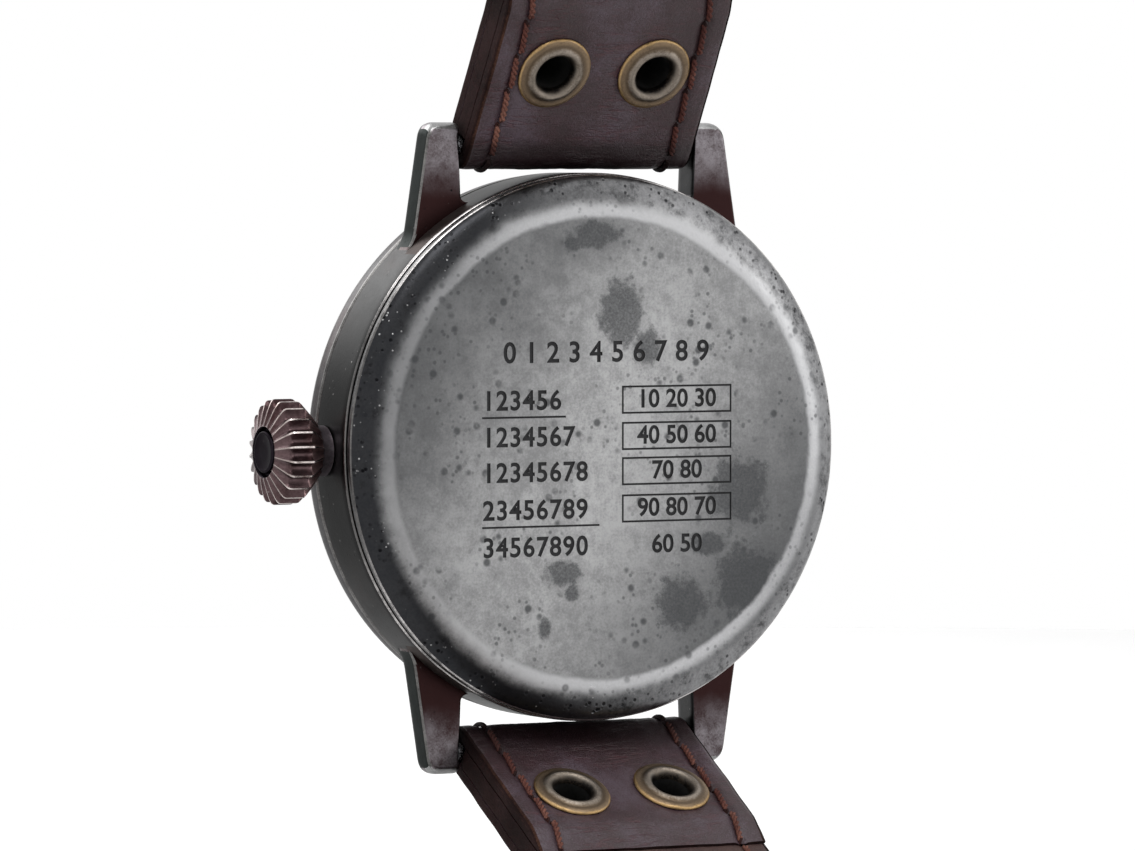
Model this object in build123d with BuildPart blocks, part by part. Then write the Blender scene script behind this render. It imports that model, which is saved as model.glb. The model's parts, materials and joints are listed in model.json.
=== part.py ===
from build123d import *
import math
import os

# Pilot watch, hand wound, on a riveted two-piece leather strap.
# X points to 3 o'clock and the crown, Z to 12 o'clock, Y out of the case back towards the wrist.
# The origin is the middle of the flat face of the case back.
# Depths are counted from that face towards the dial, so a depth d lies at Y = -d.

# Radii from the movement outwards, each piece around the one before
plate_radius = 16.5
movement_fit = 0.08
ring_inner_radius = plate_radius + movement_fit
ring_wall = 1.52
ring_outer_radius = ring_inner_radius + ring_wall
ring_fit = 0.1
cavity_radius = ring_outer_radius + ring_fit
case_wall = 2.85
case_radius = cavity_radius + case_wall

# Case, from the wrist side to the dial side
case_back_step = 0.12
case_back_radius = case_radius - case_back_step
case_back_rim_width = 2.51
case_back_flat_radius = case_back_radius - case_back_rim_width
case_back_rim_depth = 1.05
case_back_inner_depth = 1.1
band_back_depth = 1.75
band_front_depth = 6.75
band_edge_chamfer = 0.22
seat_clearance = 0.05
cut_overrun = 1.0

# Depths from the plate to the crystal, each above the one before
plate_back_depth = 4.4
plate_thickness = 2.0
plate_front_depth = plate_back_depth + plate_thickness
wheel_thickness = 0.2
motion_plate_gap = 0.05
motion_plane = plate_front_depth + motion_plate_gap
hour_wheel_gap = 0.25
hour_plane = motion_plane + wheel_thickness + hour_wheel_gap
dial_wheel_gap = 0.1
dial_back_depth = hour_plane + wheel_thickness + dial_wheel_gap
dial_thickness = 0.4
hand_thickness = 0.15
hour_hand_gap = 0.45
hour_hand_depth = dial_back_depth + dial_thickness + hour_hand_gap
minute_hand_gap = 0.3
minute_hand_depth = hour_hand_depth + hand_thickness + minute_hand_gap
seconds_hand_gap = 0.33
seconds_hand_depth = minute_hand_depth + hand_thickness + seconds_hand_gap
flange_hand_step = 0.07
flange_front_depth = seconds_hand_depth + hand_thickness + flange_hand_step
crystal_flange_gap = 0.1
crystal_lip_thickness = 0.3
crystal_seat_depth = flange_front_depth + crystal_flange_gap + crystal_lip_thickness

# Lugs
lug_gap_half = 10.05
lug_tip_half = 12.75
lug_base_half = 16.6
lug_tip_beyond = 1.75
lug_back_depth = 3.9
lug_front_depth = 6.6
lug_tip_round = 1.0
strap_case_gap = 0.25
fold_radius = 1.85
spring_bar_height = case_radius + strap_case_gap + fold_radius
lug_tip_height = spring_bar_height + lug_tip_beyond
spring_bar_depth = 5.1
spring_bar_radius = 0.75
spring_bar_tip_radius = 0.4
spring_bar_tip_length = 0.85
spring_bar_end_gap = 0.15

# Bezel and crystal
bezel_rim_above_seat = 1.0
bezel_wall_height = 1.55
bezel_front_depth = crystal_seat_depth + bezel_rim_above_seat
bezel_wall_depth = band_front_depth + bezel_wall_height
bezel_front_width = 1.8
bezel_wall_step = 0.1
bezel_wall_radius = case_radius - bezel_wall_step
bezel_bore_step = 0.52
bezel_bore_radius = ring_inner_radius + bezel_bore_step
bezel_spigot_step = 0.35
bezel_spigot_radius = cavity_radius + bezel_spigot_step
bezel_spigot_length = 0.4
crystal_step = 0.25
crystal_radius = bezel_bore_radius - crystal_step
crystal_lip_width = 0.55
crystal_lip_radius = crystal_radius - crystal_lip_width
crystal_thickness = 1.4
crystal_dome = 0.5
crystal_gasket_wall = 0.35
bezel_front_radius = crystal_radius + crystal_gasket_wall + bezel_front_width

# Case back and its seal
back_spigot_clearance = 0.08
back_spigot_radius = cavity_radius - back_spigot_clearance
back_spigot_wall = 0.6
back_spigot_length = 0.4
back_gasket_step = 1.25
back_gasket_radius = cavity_radius + back_gasket_step
back_gasket_width = 0.5
back_gasket_thickness = 0.35
caseback_line_width = 0.12
caseback_line_depth = 0.08
caseback_line_length = 17.4
caseback_row_pitch = 2.75
caseback_row_count = 5
caseback_box_width = 5.6
caseback_box_height = 2.1
caseback_box_count = 4
caseback_middle_gap = 1.5

# Movement holder, plate and bridges
ring_back_depth = 2.3
ring_front_depth = 6.3
ring_collar_radius = bezel_bore_radius - seat_clearance
bridge_step = 0.1
bridge_radius = plate_radius - bridge_step
bridge_back_depth = 1.75
bridge_front_depth = 2.75
foot_width = 0.75
foot_inner_radius = bridge_radius - foot_width
barrel_recess_radius = 7.5
barrel_recess_depth = 5.5
centre_bore = 0.62
barrel_foot_angles = (13, 107)
train_foot_angles = (122, 240)
barrel_screw_angles = (20, 62, 100)
train_screw_angles = (130, 180, 232)
screw_circle_radius = bridge_radius - foot_width / 2
screw_shank_radius = 0.25
screw_head_radius = 0.5
screw_head_height = 0.3
screw_length = 3.9
screw_hole_clearance = 0.04
screw_slot_width = 0.14
screw_slot_depth = 0.12
bridge_split_near = 2.2
train_split_near = 1.9
bridge_low_edge = 3.2

# Dial and hands
dial_fit = 0.15
dial_radius = bezel_bore_radius - dial_fit
dial_bore = 1.12
flange_wall = 0.5
flange_fit = 0.1
flange_foot_radius = bezel_bore_radius - flange_fit - flange_wall
hour_hand_length = 9.2
minute_hand_length = 13.4
seconds_hand_length = 14.4
seconds_tail_length = 4.2
hand_hub_radius = 1.5
hour_hand_width = 2.1
minute_hand_width = 1.6
seconds_hand_width = 0.3
hour_shown = 10
minute_shown = 10
second_shown = 35

# Whole and half turns, in degrees
full_turn = 360
half_turn = 180

# Wheels of the train: teeth, module, wheel thickness and depth of each plane
barrel_teeth = 84
centre_pinion_teeth = 12
centre_teeth = 80
third_pinion_teeth = 10
third_teeth = 75
fourth_pinion_teeth = 10
fourth_teeth = 80
escape_pinion_teeth = 8
escape_teeth = 15
ratchet_teeth = 50
crown_wheel_teeth = 30
cannon_teeth = 12
minute_teeth = 36
minute_pinion_teeth = 10
hour_teeth = 40
setting_teeth = 24
contrate_teeth = 24
great_module = 0.17
motion_module = 0.13
barrel_rim_thickness = 0.3
fourth_plane = 2.95
third_plane = 3.35
centre_plane = 3.7
barrel_plane = 4.02
ratchet_plane = 1.35
ratchet_thickness = 0.34
arbor_radius = 0.25
seconds_arbor_radius = 0.25
pivot_radius = 0.1
pivot_length = 0.25
end_shake = 0.03
run_clearance = 0.05
jewel_radius = 0.55
jewel_thickness = 0.35
post_radius = 0.22
post_bore_radius = post_radius + run_clearance
centre_arbor_radius = 0.55
centre_arbor_bore = 0.3
cannon_pipe_radius = 0.75
hour_pipe_radius = 1.0
barrel_wall = 0.35
barrel_floor = 0.16
barrel_depth = 5.42
barrel_arbor_radius = 0.7
barrel_arbor_core = 1.2
mainspring_thickness = 0.16
mainspring_turns = 7
hairspring_thickness = 0.06
hairspring_turns = 9
hairspring_inner_radius = 0.75
hairspring_outer_radius = 3.1
hairspring_plane = 2.02
hairspring_height = 0.2

# Directions from the middle of the movement, in degrees from 3 o'clock towards 12
barrel_direction = 62
third_direction = 162
escape_direction = 257
balance_direction = 300
balance_distance = 11.6
balance_radius = 4.4
balance_rim_width = 0.45
balance_plane = 2.45
balance_thickness = 0.35
roller_radius = 0.8
impulse_radius = 0.12
impulse_circle = 0.72
pallet_distance = 3.1
escape_radius = 2.5
regulator_thickness = 0.1
cock_back_depth = 1.35
cock_front_depth = 1.85
cock_half_width = 1.6
pallet_cock_plane = 2.88
pallet_cock_thickness = 0.28

# Keyless works
stem_depth = 5.3
stem_radius = 0.55
stem_pilot_radius = 0.32
stem_pilot_start = 8.9
stem_start = 10.0
winding_pinion_start = 13.0
winding_pinion_length = 1.4
winding_pinion_radius = 1.4
sliding_pinion_start = 11.1
sliding_pinion_length = 1.6
sliding_pinion_radius = 1.25
winding_pinion_teeth = 12
pinion_bore_clearance = 0.05
keyless_slot_half = 1.62
keyless_slot_start = 9.75
crown_wheel_centre = 11.0
crown_wheel_hub_radius = 1.1
contrate_radius = 2.25
contrate_plane = 3.15
contrate_thickness = 0.62
crown_travel = 0.9
lever_plate_gap = 0.07
lever_plane = plate_front_depth + lever_plate_gap
lever_thickness = 0.25
lever_width = 1.1

# Crown and its tube
crown_case_gap = 0.4
crown_start = case_radius + crown_case_gap
crown_neck_radius = 1.95
crown_radius = 4.0
crown_cap_radius = 1.55
crown_cap_ring_radius = 1.8
crown_cone_length = 2.3
crown_land_length = 1.75
crown_outer_cone_length = 0.6
crown_cap_height = 0.15
crown_cone_end = crown_start + crown_cone_length
crown_land_end = crown_cone_end + crown_land_length
crown_cone_outer_end = crown_land_end + crown_outer_cone_length
crown_end = crown_cone_outer_end + crown_cap_height
crown_flute_count = 22
crown_flute_depth_share = 0.86
crown_ridge_share = 0.2
crown_valley_share = 0.3
tube_radius = 1.2
tube_bore = 0.68
tube_length_in_crown = 1.65
tube_end = crown_start + tube_length_in_crown
crown_bore_radius = 1.5
crown_bore_length = 2.65
crown_bore_end = crown_start + crown_bore_length
crown_gasket_step = 0.75
crown_gasket_start = crown_start + crown_gasket_step
crown_gasket_length = 0.5

# Strap
strap_lug_width = 19.6
strap_buckle_width = 18.0
fold_clearance = 0.07
flap_length = 12.8
flap_skive_length = 2.2
flap_skive_end = 0.25
lining_start = 2.7
upper_length = 75.0
upper_angle = 31
upper_root_length = 15.0
upper_turn_angle = 47
upper_end_length = 22.0
lower_length = 115.0
lower_angle = 59.5
lower_root_length = 15.0
lower_turn_angle = 46
lower_end_length = 37.0
hole_count = 6
hole_pitch = 6.0
hole_radius = 1.1
hole_end_distance = 14.0
upper_rivet_distance = 7.5
lower_rivet_distance = 8.6
rivet_half_spacing = 4.3
rivet_flange_radius = 3.0
rivet_flange_thickness = 0.42
rivet_shank_radius = 2.15
rivet_bore_radius = 1.7
rivet_funnel_radius = 2.6
rivet_cap_height = 0.85
rivet_fit = 0.02

# Buckle and keepers
buckle_bar_radius = 0.72
buckle_gap_half = 9.35
buckle_arm_width = 1.9
buckle_length = 7.6
buckle_front_width = 2.3
buckle_back_length = 1.7
buckle_thickness = 2.0
buckle_round = 1.1
tongue_width = 2.1
tongue_ring_radius = 1.22
tongue_thickness = 0.95
tongue_length = 9.6
tongue_clearance = 0.05
slot_clearance = 0.22
slot_length = 4.4
keeper_wall = 1.0
keeper_inside_height = 3.0
fixed_keeper_distance = 9.6
fixed_keeper_length = 4.6
sliding_keeper_distance = 17.0
sliding_keeper_length = 4.4
keeper_side_clearance = 0.12
keeper_slide_clearance = 0.1

# Shapes in shares of the size that they follow
tooth_root_half_share = 0.30
tooth_tip_half_share = 0.12
tooth_addendum_share = 0.9
tooth_dedendum_share = 1.25
wheel_rim_share = 0.8
wheel_hub_share = 0.16
wheel_spoke_share = 0.09


def polar(distance, direction):
    angle = math.radians(direction)
    return (distance * math.cos(angle), distance * math.sin(angle))


def clock(distance, degrees):
    angle = math.radians(degrees)
    return (distance * math.sin(angle), distance * math.cos(angle))


def toothed(teeth, module, phase):
    # Outline of a gear about the origin, with a tooth at the phase angle
    pitch = full_turn / teeth
    root = module * (teeth / 2 - tooth_dedendum_share)
    tip = module * (teeth / 2 + tooth_addendum_share)
    points = []
    for tooth in range(teeth):
        middle = phase + pitch * tooth
        points.append(polar(root, middle - pitch * tooth_root_half_share))
        points.append(polar(tip, middle - pitch * tooth_tip_half_share))
        points.append(polar(tip, middle + pitch * tooth_tip_half_share))
        points.append(polar(root, middle + pitch * tooth_root_half_share))
    return points


def meshed_phase(phase, teeth, other_teeth, direction):
    # Phase of the other gear so that its gaps meet the teeth of the first one
    lead = (phase - direction) * teeth / other_teeth
    return direction + half_turn - lead + half_turn / other_teeth


def spiral(inner, outer, thickness, turns, steps):
    # Flat strip wound as a spiral about the origin
    inside = []
    outside = []
    total = turns * steps
    for step in range(total + 1):
        radius = inner + (outer - inner) * step / total
        angle = full_turn * step / steps
        inside.append(polar(radius, angle))
        outside.append(polar(radius + thickness, angle))
    return inside + outside[::-1]


def stepped_arbor(centre, steps):
    # Turned arbor on an axis along Y, as (radius, start depth, end depth)
    with BuildPart() as arbor:
        for radius, start, end in steps:
            with BuildSketch(Plane.XZ.offset(start)):
                with Locations(centre):
                    Circle(radius)
            extrude(amount=end - start)
    return arbor.part


def toothed_wheel(centre, teeth, module, phase, start, thickness, spokes, bore):
    root = module * (teeth / 2 - tooth_dedendum_share)
    rim_inner = root * wheel_rim_share
    hub = max(root * wheel_hub_share, bore * 2)
    with BuildPart() as wheel:
        with BuildSketch(Plane.XZ.offset(start)):
            with Locations(centre):
                Polygon(*toothed(teeth, module, phase), align=None)
                if spokes:
                    Circle(rim_inner, mode=Mode.SUBTRACT)
                    Circle(hub)
                    with PolarLocations(rim_inner / 2, spokes):
                        Rectangle(rim_inner, root * wheel_spoke_share)
                if bore:
                    Circle(bore, mode=Mode.SUBTRACT)
        extrude(amount=thickness)
    return wheel.part


def fused(*pieces):
    with BuildPart() as whole:
        for piece in pieces:
            add(piece)
    return whole.part


def ring_profile(points):
    # Solid turned about the Y axis from an outline of (radius, depth)
    with BuildPart() as turned:
        with BuildSketch(Plane.XY):
            Polygon(*[(radius, -depth) for radius, depth in points], align=None)
        revolve(axis=Axis.Y)
    return turned.part


# Centres of the axes, (X, Z)
middle = (0, 0)
barrel_distance = great_module * (barrel_teeth + centre_pinion_teeth) / 2
third_distance = great_module * (centre_teeth + third_pinion_teeth) / 2
third_module = 2 * third_distance / (third_teeth + fourth_pinion_teeth)
escape_distance = great_module * (fourth_teeth + escape_pinion_teeth) / 2
minute_distance = motion_module * (cannon_teeth + minute_teeth) / 2
hour_module = 2 * minute_distance / (minute_pinion_teeth + hour_teeth)
setting_distance = motion_module * (minute_teeth + setting_teeth) / 2
barrel_centre = polar(barrel_distance, barrel_direction)
third_centre = polar(third_distance, third_direction)
escape_centre = polar(escape_distance, escape_direction)
balance_centre = polar(balance_distance, balance_direction)
minute_centre = (minute_distance, 0)
setting_centre = (minute_distance + setting_distance, 0)
crown_wheel_point = (crown_wheel_centre, 0)
line_x = balance_centre[0] - escape_centre[0]
line_z = balance_centre[1] - escape_centre[1]
line_length = math.hypot(line_x, line_z)
line_direction = math.degrees(math.atan2(line_z, line_x))
pallet_centre = (
    escape_centre[0] + pallet_distance * line_x / line_length,
    escape_centre[1] + pallet_distance * line_z / line_length,
)
ratchet_gap_x = crown_wheel_point[0] - barrel_centre[0]
ratchet_gap_z = crown_wheel_point[1] - barrel_centre[1]
ratchet_distance = math.hypot(ratchet_gap_x, ratchet_gap_z)
ratchet_module = 2 * ratchet_distance / (ratchet_teeth + crown_wheel_teeth)
ratchet_line = math.degrees(math.atan2(ratchet_gap_z, ratchet_gap_x))

lug_points = [(lug_gap_half, 0), (lug_gap_half, lug_tip_height)]
lug_points += [(lug_tip_half, lug_tip_height), (lug_base_half, 0)]


def make_mid_case():
    with BuildPart() as mid_case:
        for side in (-1, 1):
            for end in (-1, 1):
                with BuildSketch(Plane.XZ.offset(lug_back_depth)):
                    Polygon(*[(side * x, end * z) for x, z in lug_points], align=None)
                extrude(amount=lug_front_depth - lug_back_depth)
        tips = mid_case.edges().filter_by(Axis.Y)
        tips = tips.filter_by(lambda edge: abs(edge.center().Z) > spring_bar_height)
        outer_tips = tips.filter_by(lambda edge: abs(edge.center().X) > lug_gap_half + lug_tip_round)
        fillet(outer_tips, radius=lug_tip_round)
        with BuildSketch(Plane.XZ.offset(band_back_depth)):
            Circle(case_radius)
        extrude(amount=band_front_depth - band_back_depth)
        round_edges = mid_case.edges().filter_by(GeomType.CIRCLE)
        rims = round_edges.filter_by(lambda edge: edge.radius > cavity_radius)
        chamfer(rims.sort_by(Axis.Y)[-1], length=band_edge_chamfer)
        with BuildSketch(Plane.XZ.offset(band_back_depth)):
            Circle(cavity_radius)
        extrude(amount=band_front_depth - band_back_depth, mode=Mode.SUBTRACT)
        # Step for the bezel spigot
        with BuildSketch(Plane.XZ.offset(band_front_depth - bezel_spigot_length - seat_clearance)):
            Circle(bezel_spigot_radius + seat_clearance)
        extrude(amount=bezel_spigot_length + seat_clearance, mode=Mode.SUBTRACT)
        # Groove of the case back gasket
        with BuildSketch(Plane.XZ.offset(band_back_depth)):
            Circle(back_gasket_radius + seat_clearance)
            Circle(back_gasket_radius - back_gasket_width - seat_clearance, mode=Mode.SUBTRACT)
        extrude(amount=back_gasket_thickness, mode=Mode.SUBTRACT)
        # Spring bar holes and the crown tube hole
        with BuildSketch(Plane.YZ.offset(-case_radius)):
            with Locations((-spring_bar_depth, spring_bar_height), (-spring_bar_depth, -spring_bar_height)):
                Circle(spring_bar_tip_radius + run_clearance)
        extrude(amount=2 * case_radius, mode=Mode.SUBTRACT)
        with BuildSketch(Plane.YZ.offset(cavity_radius - cut_overrun)):
            with Locations((-stem_depth, 0)):
                Circle(tube_radius)
        extrude(amount=case_radius - cavity_radius + 2 * cut_overrun, mode=Mode.SUBTRACT)
    return mid_case.part


def make_spring_bars():
    half = lug_gap_half - spring_bar_end_gap
    with BuildPart() as bars:
        for end in (-1, 1):
            with BuildSketch(Plane.YZ.offset(-half)):
                with Locations((-spring_bar_depth, end * spring_bar_height)):
                    Circle(spring_bar_radius)
            extrude(amount=2 * half)
            tip_half = lug_gap_half + spring_bar_tip_length
            with BuildSketch(Plane.YZ.offset(-tip_half)):
                with Locations((-spring_bar_depth, end * spring_bar_height)):
                    Circle(spring_bar_tip_radius)
            extrude(amount=2 * tip_half)
    return bars.part


def make_bezel():
    gasket_seat = crystal_radius + crystal_gasket_wall
    points = [
        (bezel_bore_radius, band_front_depth - bezel_spigot_length),
        (bezel_spigot_radius, band_front_depth - bezel_spigot_length),
        (bezel_spigot_radius, band_front_depth),
        (case_radius, band_front_depth),
        (bezel_wall_radius, bezel_wall_depth),
        (bezel_front_radius, bezel_front_depth),
        (gasket_seat, bezel_front_depth),
        (gasket_seat, crystal_seat_depth),
        (crystal_lip_radius, crystal_seat_depth),
        (crystal_lip_radius, crystal_seat_depth - crystal_lip_thickness),
        (bezel_bore_radius, crystal_seat_depth - crystal_lip_thickness),
    ]
    return ring_profile(points)


def make_crystal():
    top = crystal_seat_depth + crystal_thickness
    half = crystal_radius / 2
    sphere = (crystal_radius**2 + crystal_dome**2) / (2 * crystal_dome)
    dome_there = math.sqrt(sphere**2 - half**2) - sphere + crystal_dome
    with BuildPart() as crystal:
        with BuildSketch(Plane.XY):
            with BuildLine():
                Polyline((0, -top - crystal_dome), (0, -crystal_seat_depth), (crystal_radius, -crystal_seat_depth))
                Line((crystal_radius, -crystal_seat_depth), (crystal_radius, -top))
                ThreePointArc((crystal_radius, -top), (half, -top - dome_there), (0, -top - crystal_dome))
            make_face()
        revolve(axis=Axis.Y)
    return crystal.part


def make_crystal_gasket():
    outer = crystal_radius + crystal_gasket_wall
    points = [
        (crystal_radius, crystal_seat_depth),
        (outer, crystal_seat_depth),
        (outer, bezel_front_depth),
        (crystal_radius, bezel_front_depth),
    ]
    return ring_profile(points)


def make_case_back():
    spigot_inner = back_spigot_radius - back_spigot_wall
    spigot_end = band_back_depth + back_spigot_length
    with BuildPart() as case_back:
        with BuildSketch(Plane.XY):
            with BuildLine():
                Line((0, 0), (case_back_flat_radius, 0))
                rim = (case_back_radius, -case_back_rim_depth)
                lift = case_back_rim_depth * 0.3
                span = case_back_radius - case_back_flat_radius
                ThreePointArc((case_back_flat_radius, 0), (case_back_flat_radius + span * 0.55, -lift), rim)
                Polyline(
                    rim,
                    (case_back_radius, -band_back_depth),
                    (back_spigot_radius, -band_back_depth),
                    (back_spigot_radius, -spigot_end),
                    (spigot_inner, -spigot_end),
                    (spigot_inner, -case_back_inner_depth),
                    (0, -case_back_inner_depth),
                    (0, 0),
                )
            make_face()
        revolve(axis=Axis.Y)
        # Plain ruled lines and empty boxes, cut shallow into the flat face
        left = caseback_line_length / 2
        first_row = caseback_row_pitch * (caseback_row_count - 1) / 2
        with BuildSketch(Plane.XZ.offset(0)):
            for row in range(caseback_row_count):
                height = first_row - row * caseback_row_pitch
                with Locations((left / 2 + caseback_middle_gap, height)):
                    Rectangle(left, caseback_line_width)
            for row in range(caseback_box_count):
                height = first_row - row * caseback_row_pitch
                with Locations((-left / 2 - caseback_middle_gap / 2, height)):
                    Rectangle(caseback_box_width, caseback_box_height)
                    inner_width = caseback_box_width - 2 * caseback_line_width
                    inner_height = caseback_box_height - 2 * caseback_line_width
                    Rectangle(inner_width, inner_height, mode=Mode.SUBTRACT)
        extrude(amount=caseback_line_depth, mode=Mode.SUBTRACT)
    return case_back.part


def make_case_back_gasket():
    inner = back_gasket_radius - back_gasket_width
    bottom = band_back_depth + back_gasket_thickness
    points = [
        (inner, band_back_depth),
        (back_gasket_radius, band_back_depth),
        (back_gasket_radius, bottom),
        (inner, bottom),
    ]
    return ring_profile(points)


def make_casing_ring():
    points = [
        (ring_inner_radius, ring_back_depth),
        (ring_outer_radius, ring_back_depth),
        (ring_outer_radius, ring_front_depth),
        (ring_collar_radius, ring_front_depth),
        (ring_collar_radius, dial_back_depth),
        (ring_inner_radius, dial_back_depth),
    ]
    with BuildPart() as casing_ring:
        with BuildSketch(Plane.XY):
            Polygon(*[(radius, -depth) for radius, depth in points], align=None)
        revolve(axis=Axis.Y)
        with BuildSketch(Plane.YZ.offset(ring_inner_radius - cut_overrun)):
            with Locations((-stem_depth, 0)):
                Circle(stem_radius + 2 * pinion_bore_clearance)
        extrude(amount=ring_outer_radius - ring_inner_radius + 2 * cut_overrun, mode=Mode.SUBTRACT)
    return casing_ring.part


tube_start = bezel_spigot_radius + seat_clearance


def make_crown_tube():
    with BuildPart() as crown_tube:
        with BuildSketch(Plane.YZ.offset(tube_start)):
            with Locations((-stem_depth, 0)):
                Circle(tube_radius)
                Circle(tube_bore, mode=Mode.SUBTRACT)
        extrude(amount=tube_end - tube_start)
    return crown_tube.part


def make_dial():
    with BuildPart() as dial:
        with BuildSketch(Plane.XZ.offset(dial_back_depth)):
            Circle(dial_radius)
            Circle(dial_bore, mode=Mode.SUBTRACT)
        extrude(amount=dial_thickness)
    return dial.part


def make_dial_flange():
    foot = dial_back_depth + dial_thickness
    points = [
        (flange_foot_radius - flange_wall, foot),
        (flange_foot_radius + flange_wall, foot),
        (flange_foot_radius + flange_wall, flange_front_depth),
        (flange_foot_radius, flange_front_depth),
    ]
    return ring_profile(points)


def lobed(radius):
    # Outline of the fluted crown at one radius
    pitch = full_turn / crown_flute_count
    valley = radius * crown_flute_depth_share
    points = []
    for flute in range(crown_flute_count):
        middle_angle = pitch * flute
        points.append(polar(radius, middle_angle - pitch * crown_ridge_share))
        points.append(polar(radius, middle_angle + pitch * crown_ridge_share))
        points.append(polar(valley, middle_angle + pitch * (0.5 - crown_valley_share / 2)))
        points.append(polar(valley, middle_angle + pitch * (0.5 + crown_valley_share / 2)))
    return points


def make_crown():
    sections = [
        (crown_start, crown_neck_radius),
        (crown_cone_end, crown_radius),
        (crown_land_end, crown_radius),
        (crown_cone_outer_end, crown_cap_ring_radius),
    ]
    with BuildPart() as crown:
        for place, radius in sections:
            with BuildSketch(Plane((place, -stem_depth, 0), x_dir=(0, 1, 0), z_dir=(1, 0, 0))):
                Polygon(*lobed(radius), align=None)
        loft(ruled=True)
        with BuildSketch(Plane((crown_land_end, -stem_depth, 0), x_dir=(0, 1, 0), z_dir=(1, 0, 0))):
            Circle(crown_cap_radius)
        extrude(amount=crown_end - crown_land_end)
        with BuildSketch(Plane((crown_start, -stem_depth, 0), x_dir=(0, 1, 0), z_dir=(1, 0, 0))):
            Circle(crown_bore_radius)
        extrude(amount=crown_bore_end - crown_start, mode=Mode.SUBTRACT)
    return crown.part


def make_crown_gasket():
    with BuildPart() as crown_gasket:
        with BuildSketch(Plane.YZ.offset(crown_gasket_start)):
            with Locations((-stem_depth, 0)):
                Circle(crown_bore_radius)
                Circle(tube_radius + run_clearance, mode=Mode.SUBTRACT)
        extrude(amount=crown_gasket_length)
    return crown_gasket.part


def make_winding_stem():
    with BuildPart() as winding_stem:
        with BuildSketch(Plane.YZ.offset(stem_start)):
            with Locations((-stem_depth, 0)):
                Circle(stem_radius)
        extrude(amount=crown_bore_end - stem_start)
        with BuildSketch(Plane.YZ.offset(stem_pilot_start)):
            with Locations((-stem_depth, 0)):
                Circle(stem_pilot_radius)
        extrude(amount=stem_start - stem_pilot_start)
    return winding_stem.part


def make_stem_pinion(start, length, radius):
    module = 2 * radius / (winding_pinion_teeth + 2 * tooth_addendum_share)
    with BuildPart() as pinion:
        with BuildSketch(Plane.YZ.offset(start)):
            with Locations((-stem_depth, 0)):
                Polygon(*toothed(winding_pinion_teeth, module, 0), align=None)
                Circle(stem_radius + pinion_bore_clearance, mode=Mode.SUBTRACT)
        extrude(amount=length)
    return pinion.part


def jewel_places():
    upper = bridge_front_depth - jewel_thickness
    lower = plate_back_depth
    cock = cock_front_depth - jewel_thickness
    places = [(third_centre, upper), (middle, upper), (escape_centre, upper)]
    places += [(third_centre, lower), (escape_centre, lower)]
    places += [(pallet_centre, lower), (balance_centre, lower), (balance_centre, cock)]
    return places


def make_jewels():
    with BuildPart() as jewels:
        for centre, start in jewel_places():
            bore = pivot_radius + run_clearance
            with BuildSketch(Plane.XZ.offset(start)):
                with Locations(centre):
                    Circle(jewel_radius)
                    Circle(bore, mode=Mode.SUBTRACT)
            extrude(amount=jewel_thickness)
    return jewels.part


def screw_points():
    angles = list(barrel_screw_angles) + list(train_screw_angles)
    return [polar(screw_circle_radius, angle) for angle in angles]


def make_bridge_screws():
    with BuildPart() as screws:
        for centre in screw_points():
            head = bridge_back_depth - screw_head_height
            with BuildSketch(Plane.XZ.offset(head)):
                with Locations(centre):
                    Circle(screw_head_radius)
            extrude(amount=screw_head_height)
            with BuildSketch(Plane.XZ.offset(bridge_back_depth)):
                with Locations(centre):
                    Circle(screw_shank_radius)
            extrude(amount=screw_length)
            with BuildSketch(Plane.XZ.offset(head)):
                with Locations(centre):
                    Rectangle(2 * screw_head_radius, screw_slot_width)
            extrude(amount=screw_slot_depth, mode=Mode.SUBTRACT)
    return screws.part


def post_places():
    lever_front = lever_plane + lever_thickness
    places = [(minute_centre, hour_plane + wheel_thickness), (setting_centre, motion_plane + wheel_thickness)]
    return places + [(lever_pivot, lever_front), (yoke_pivot, lever_front)]


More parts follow.
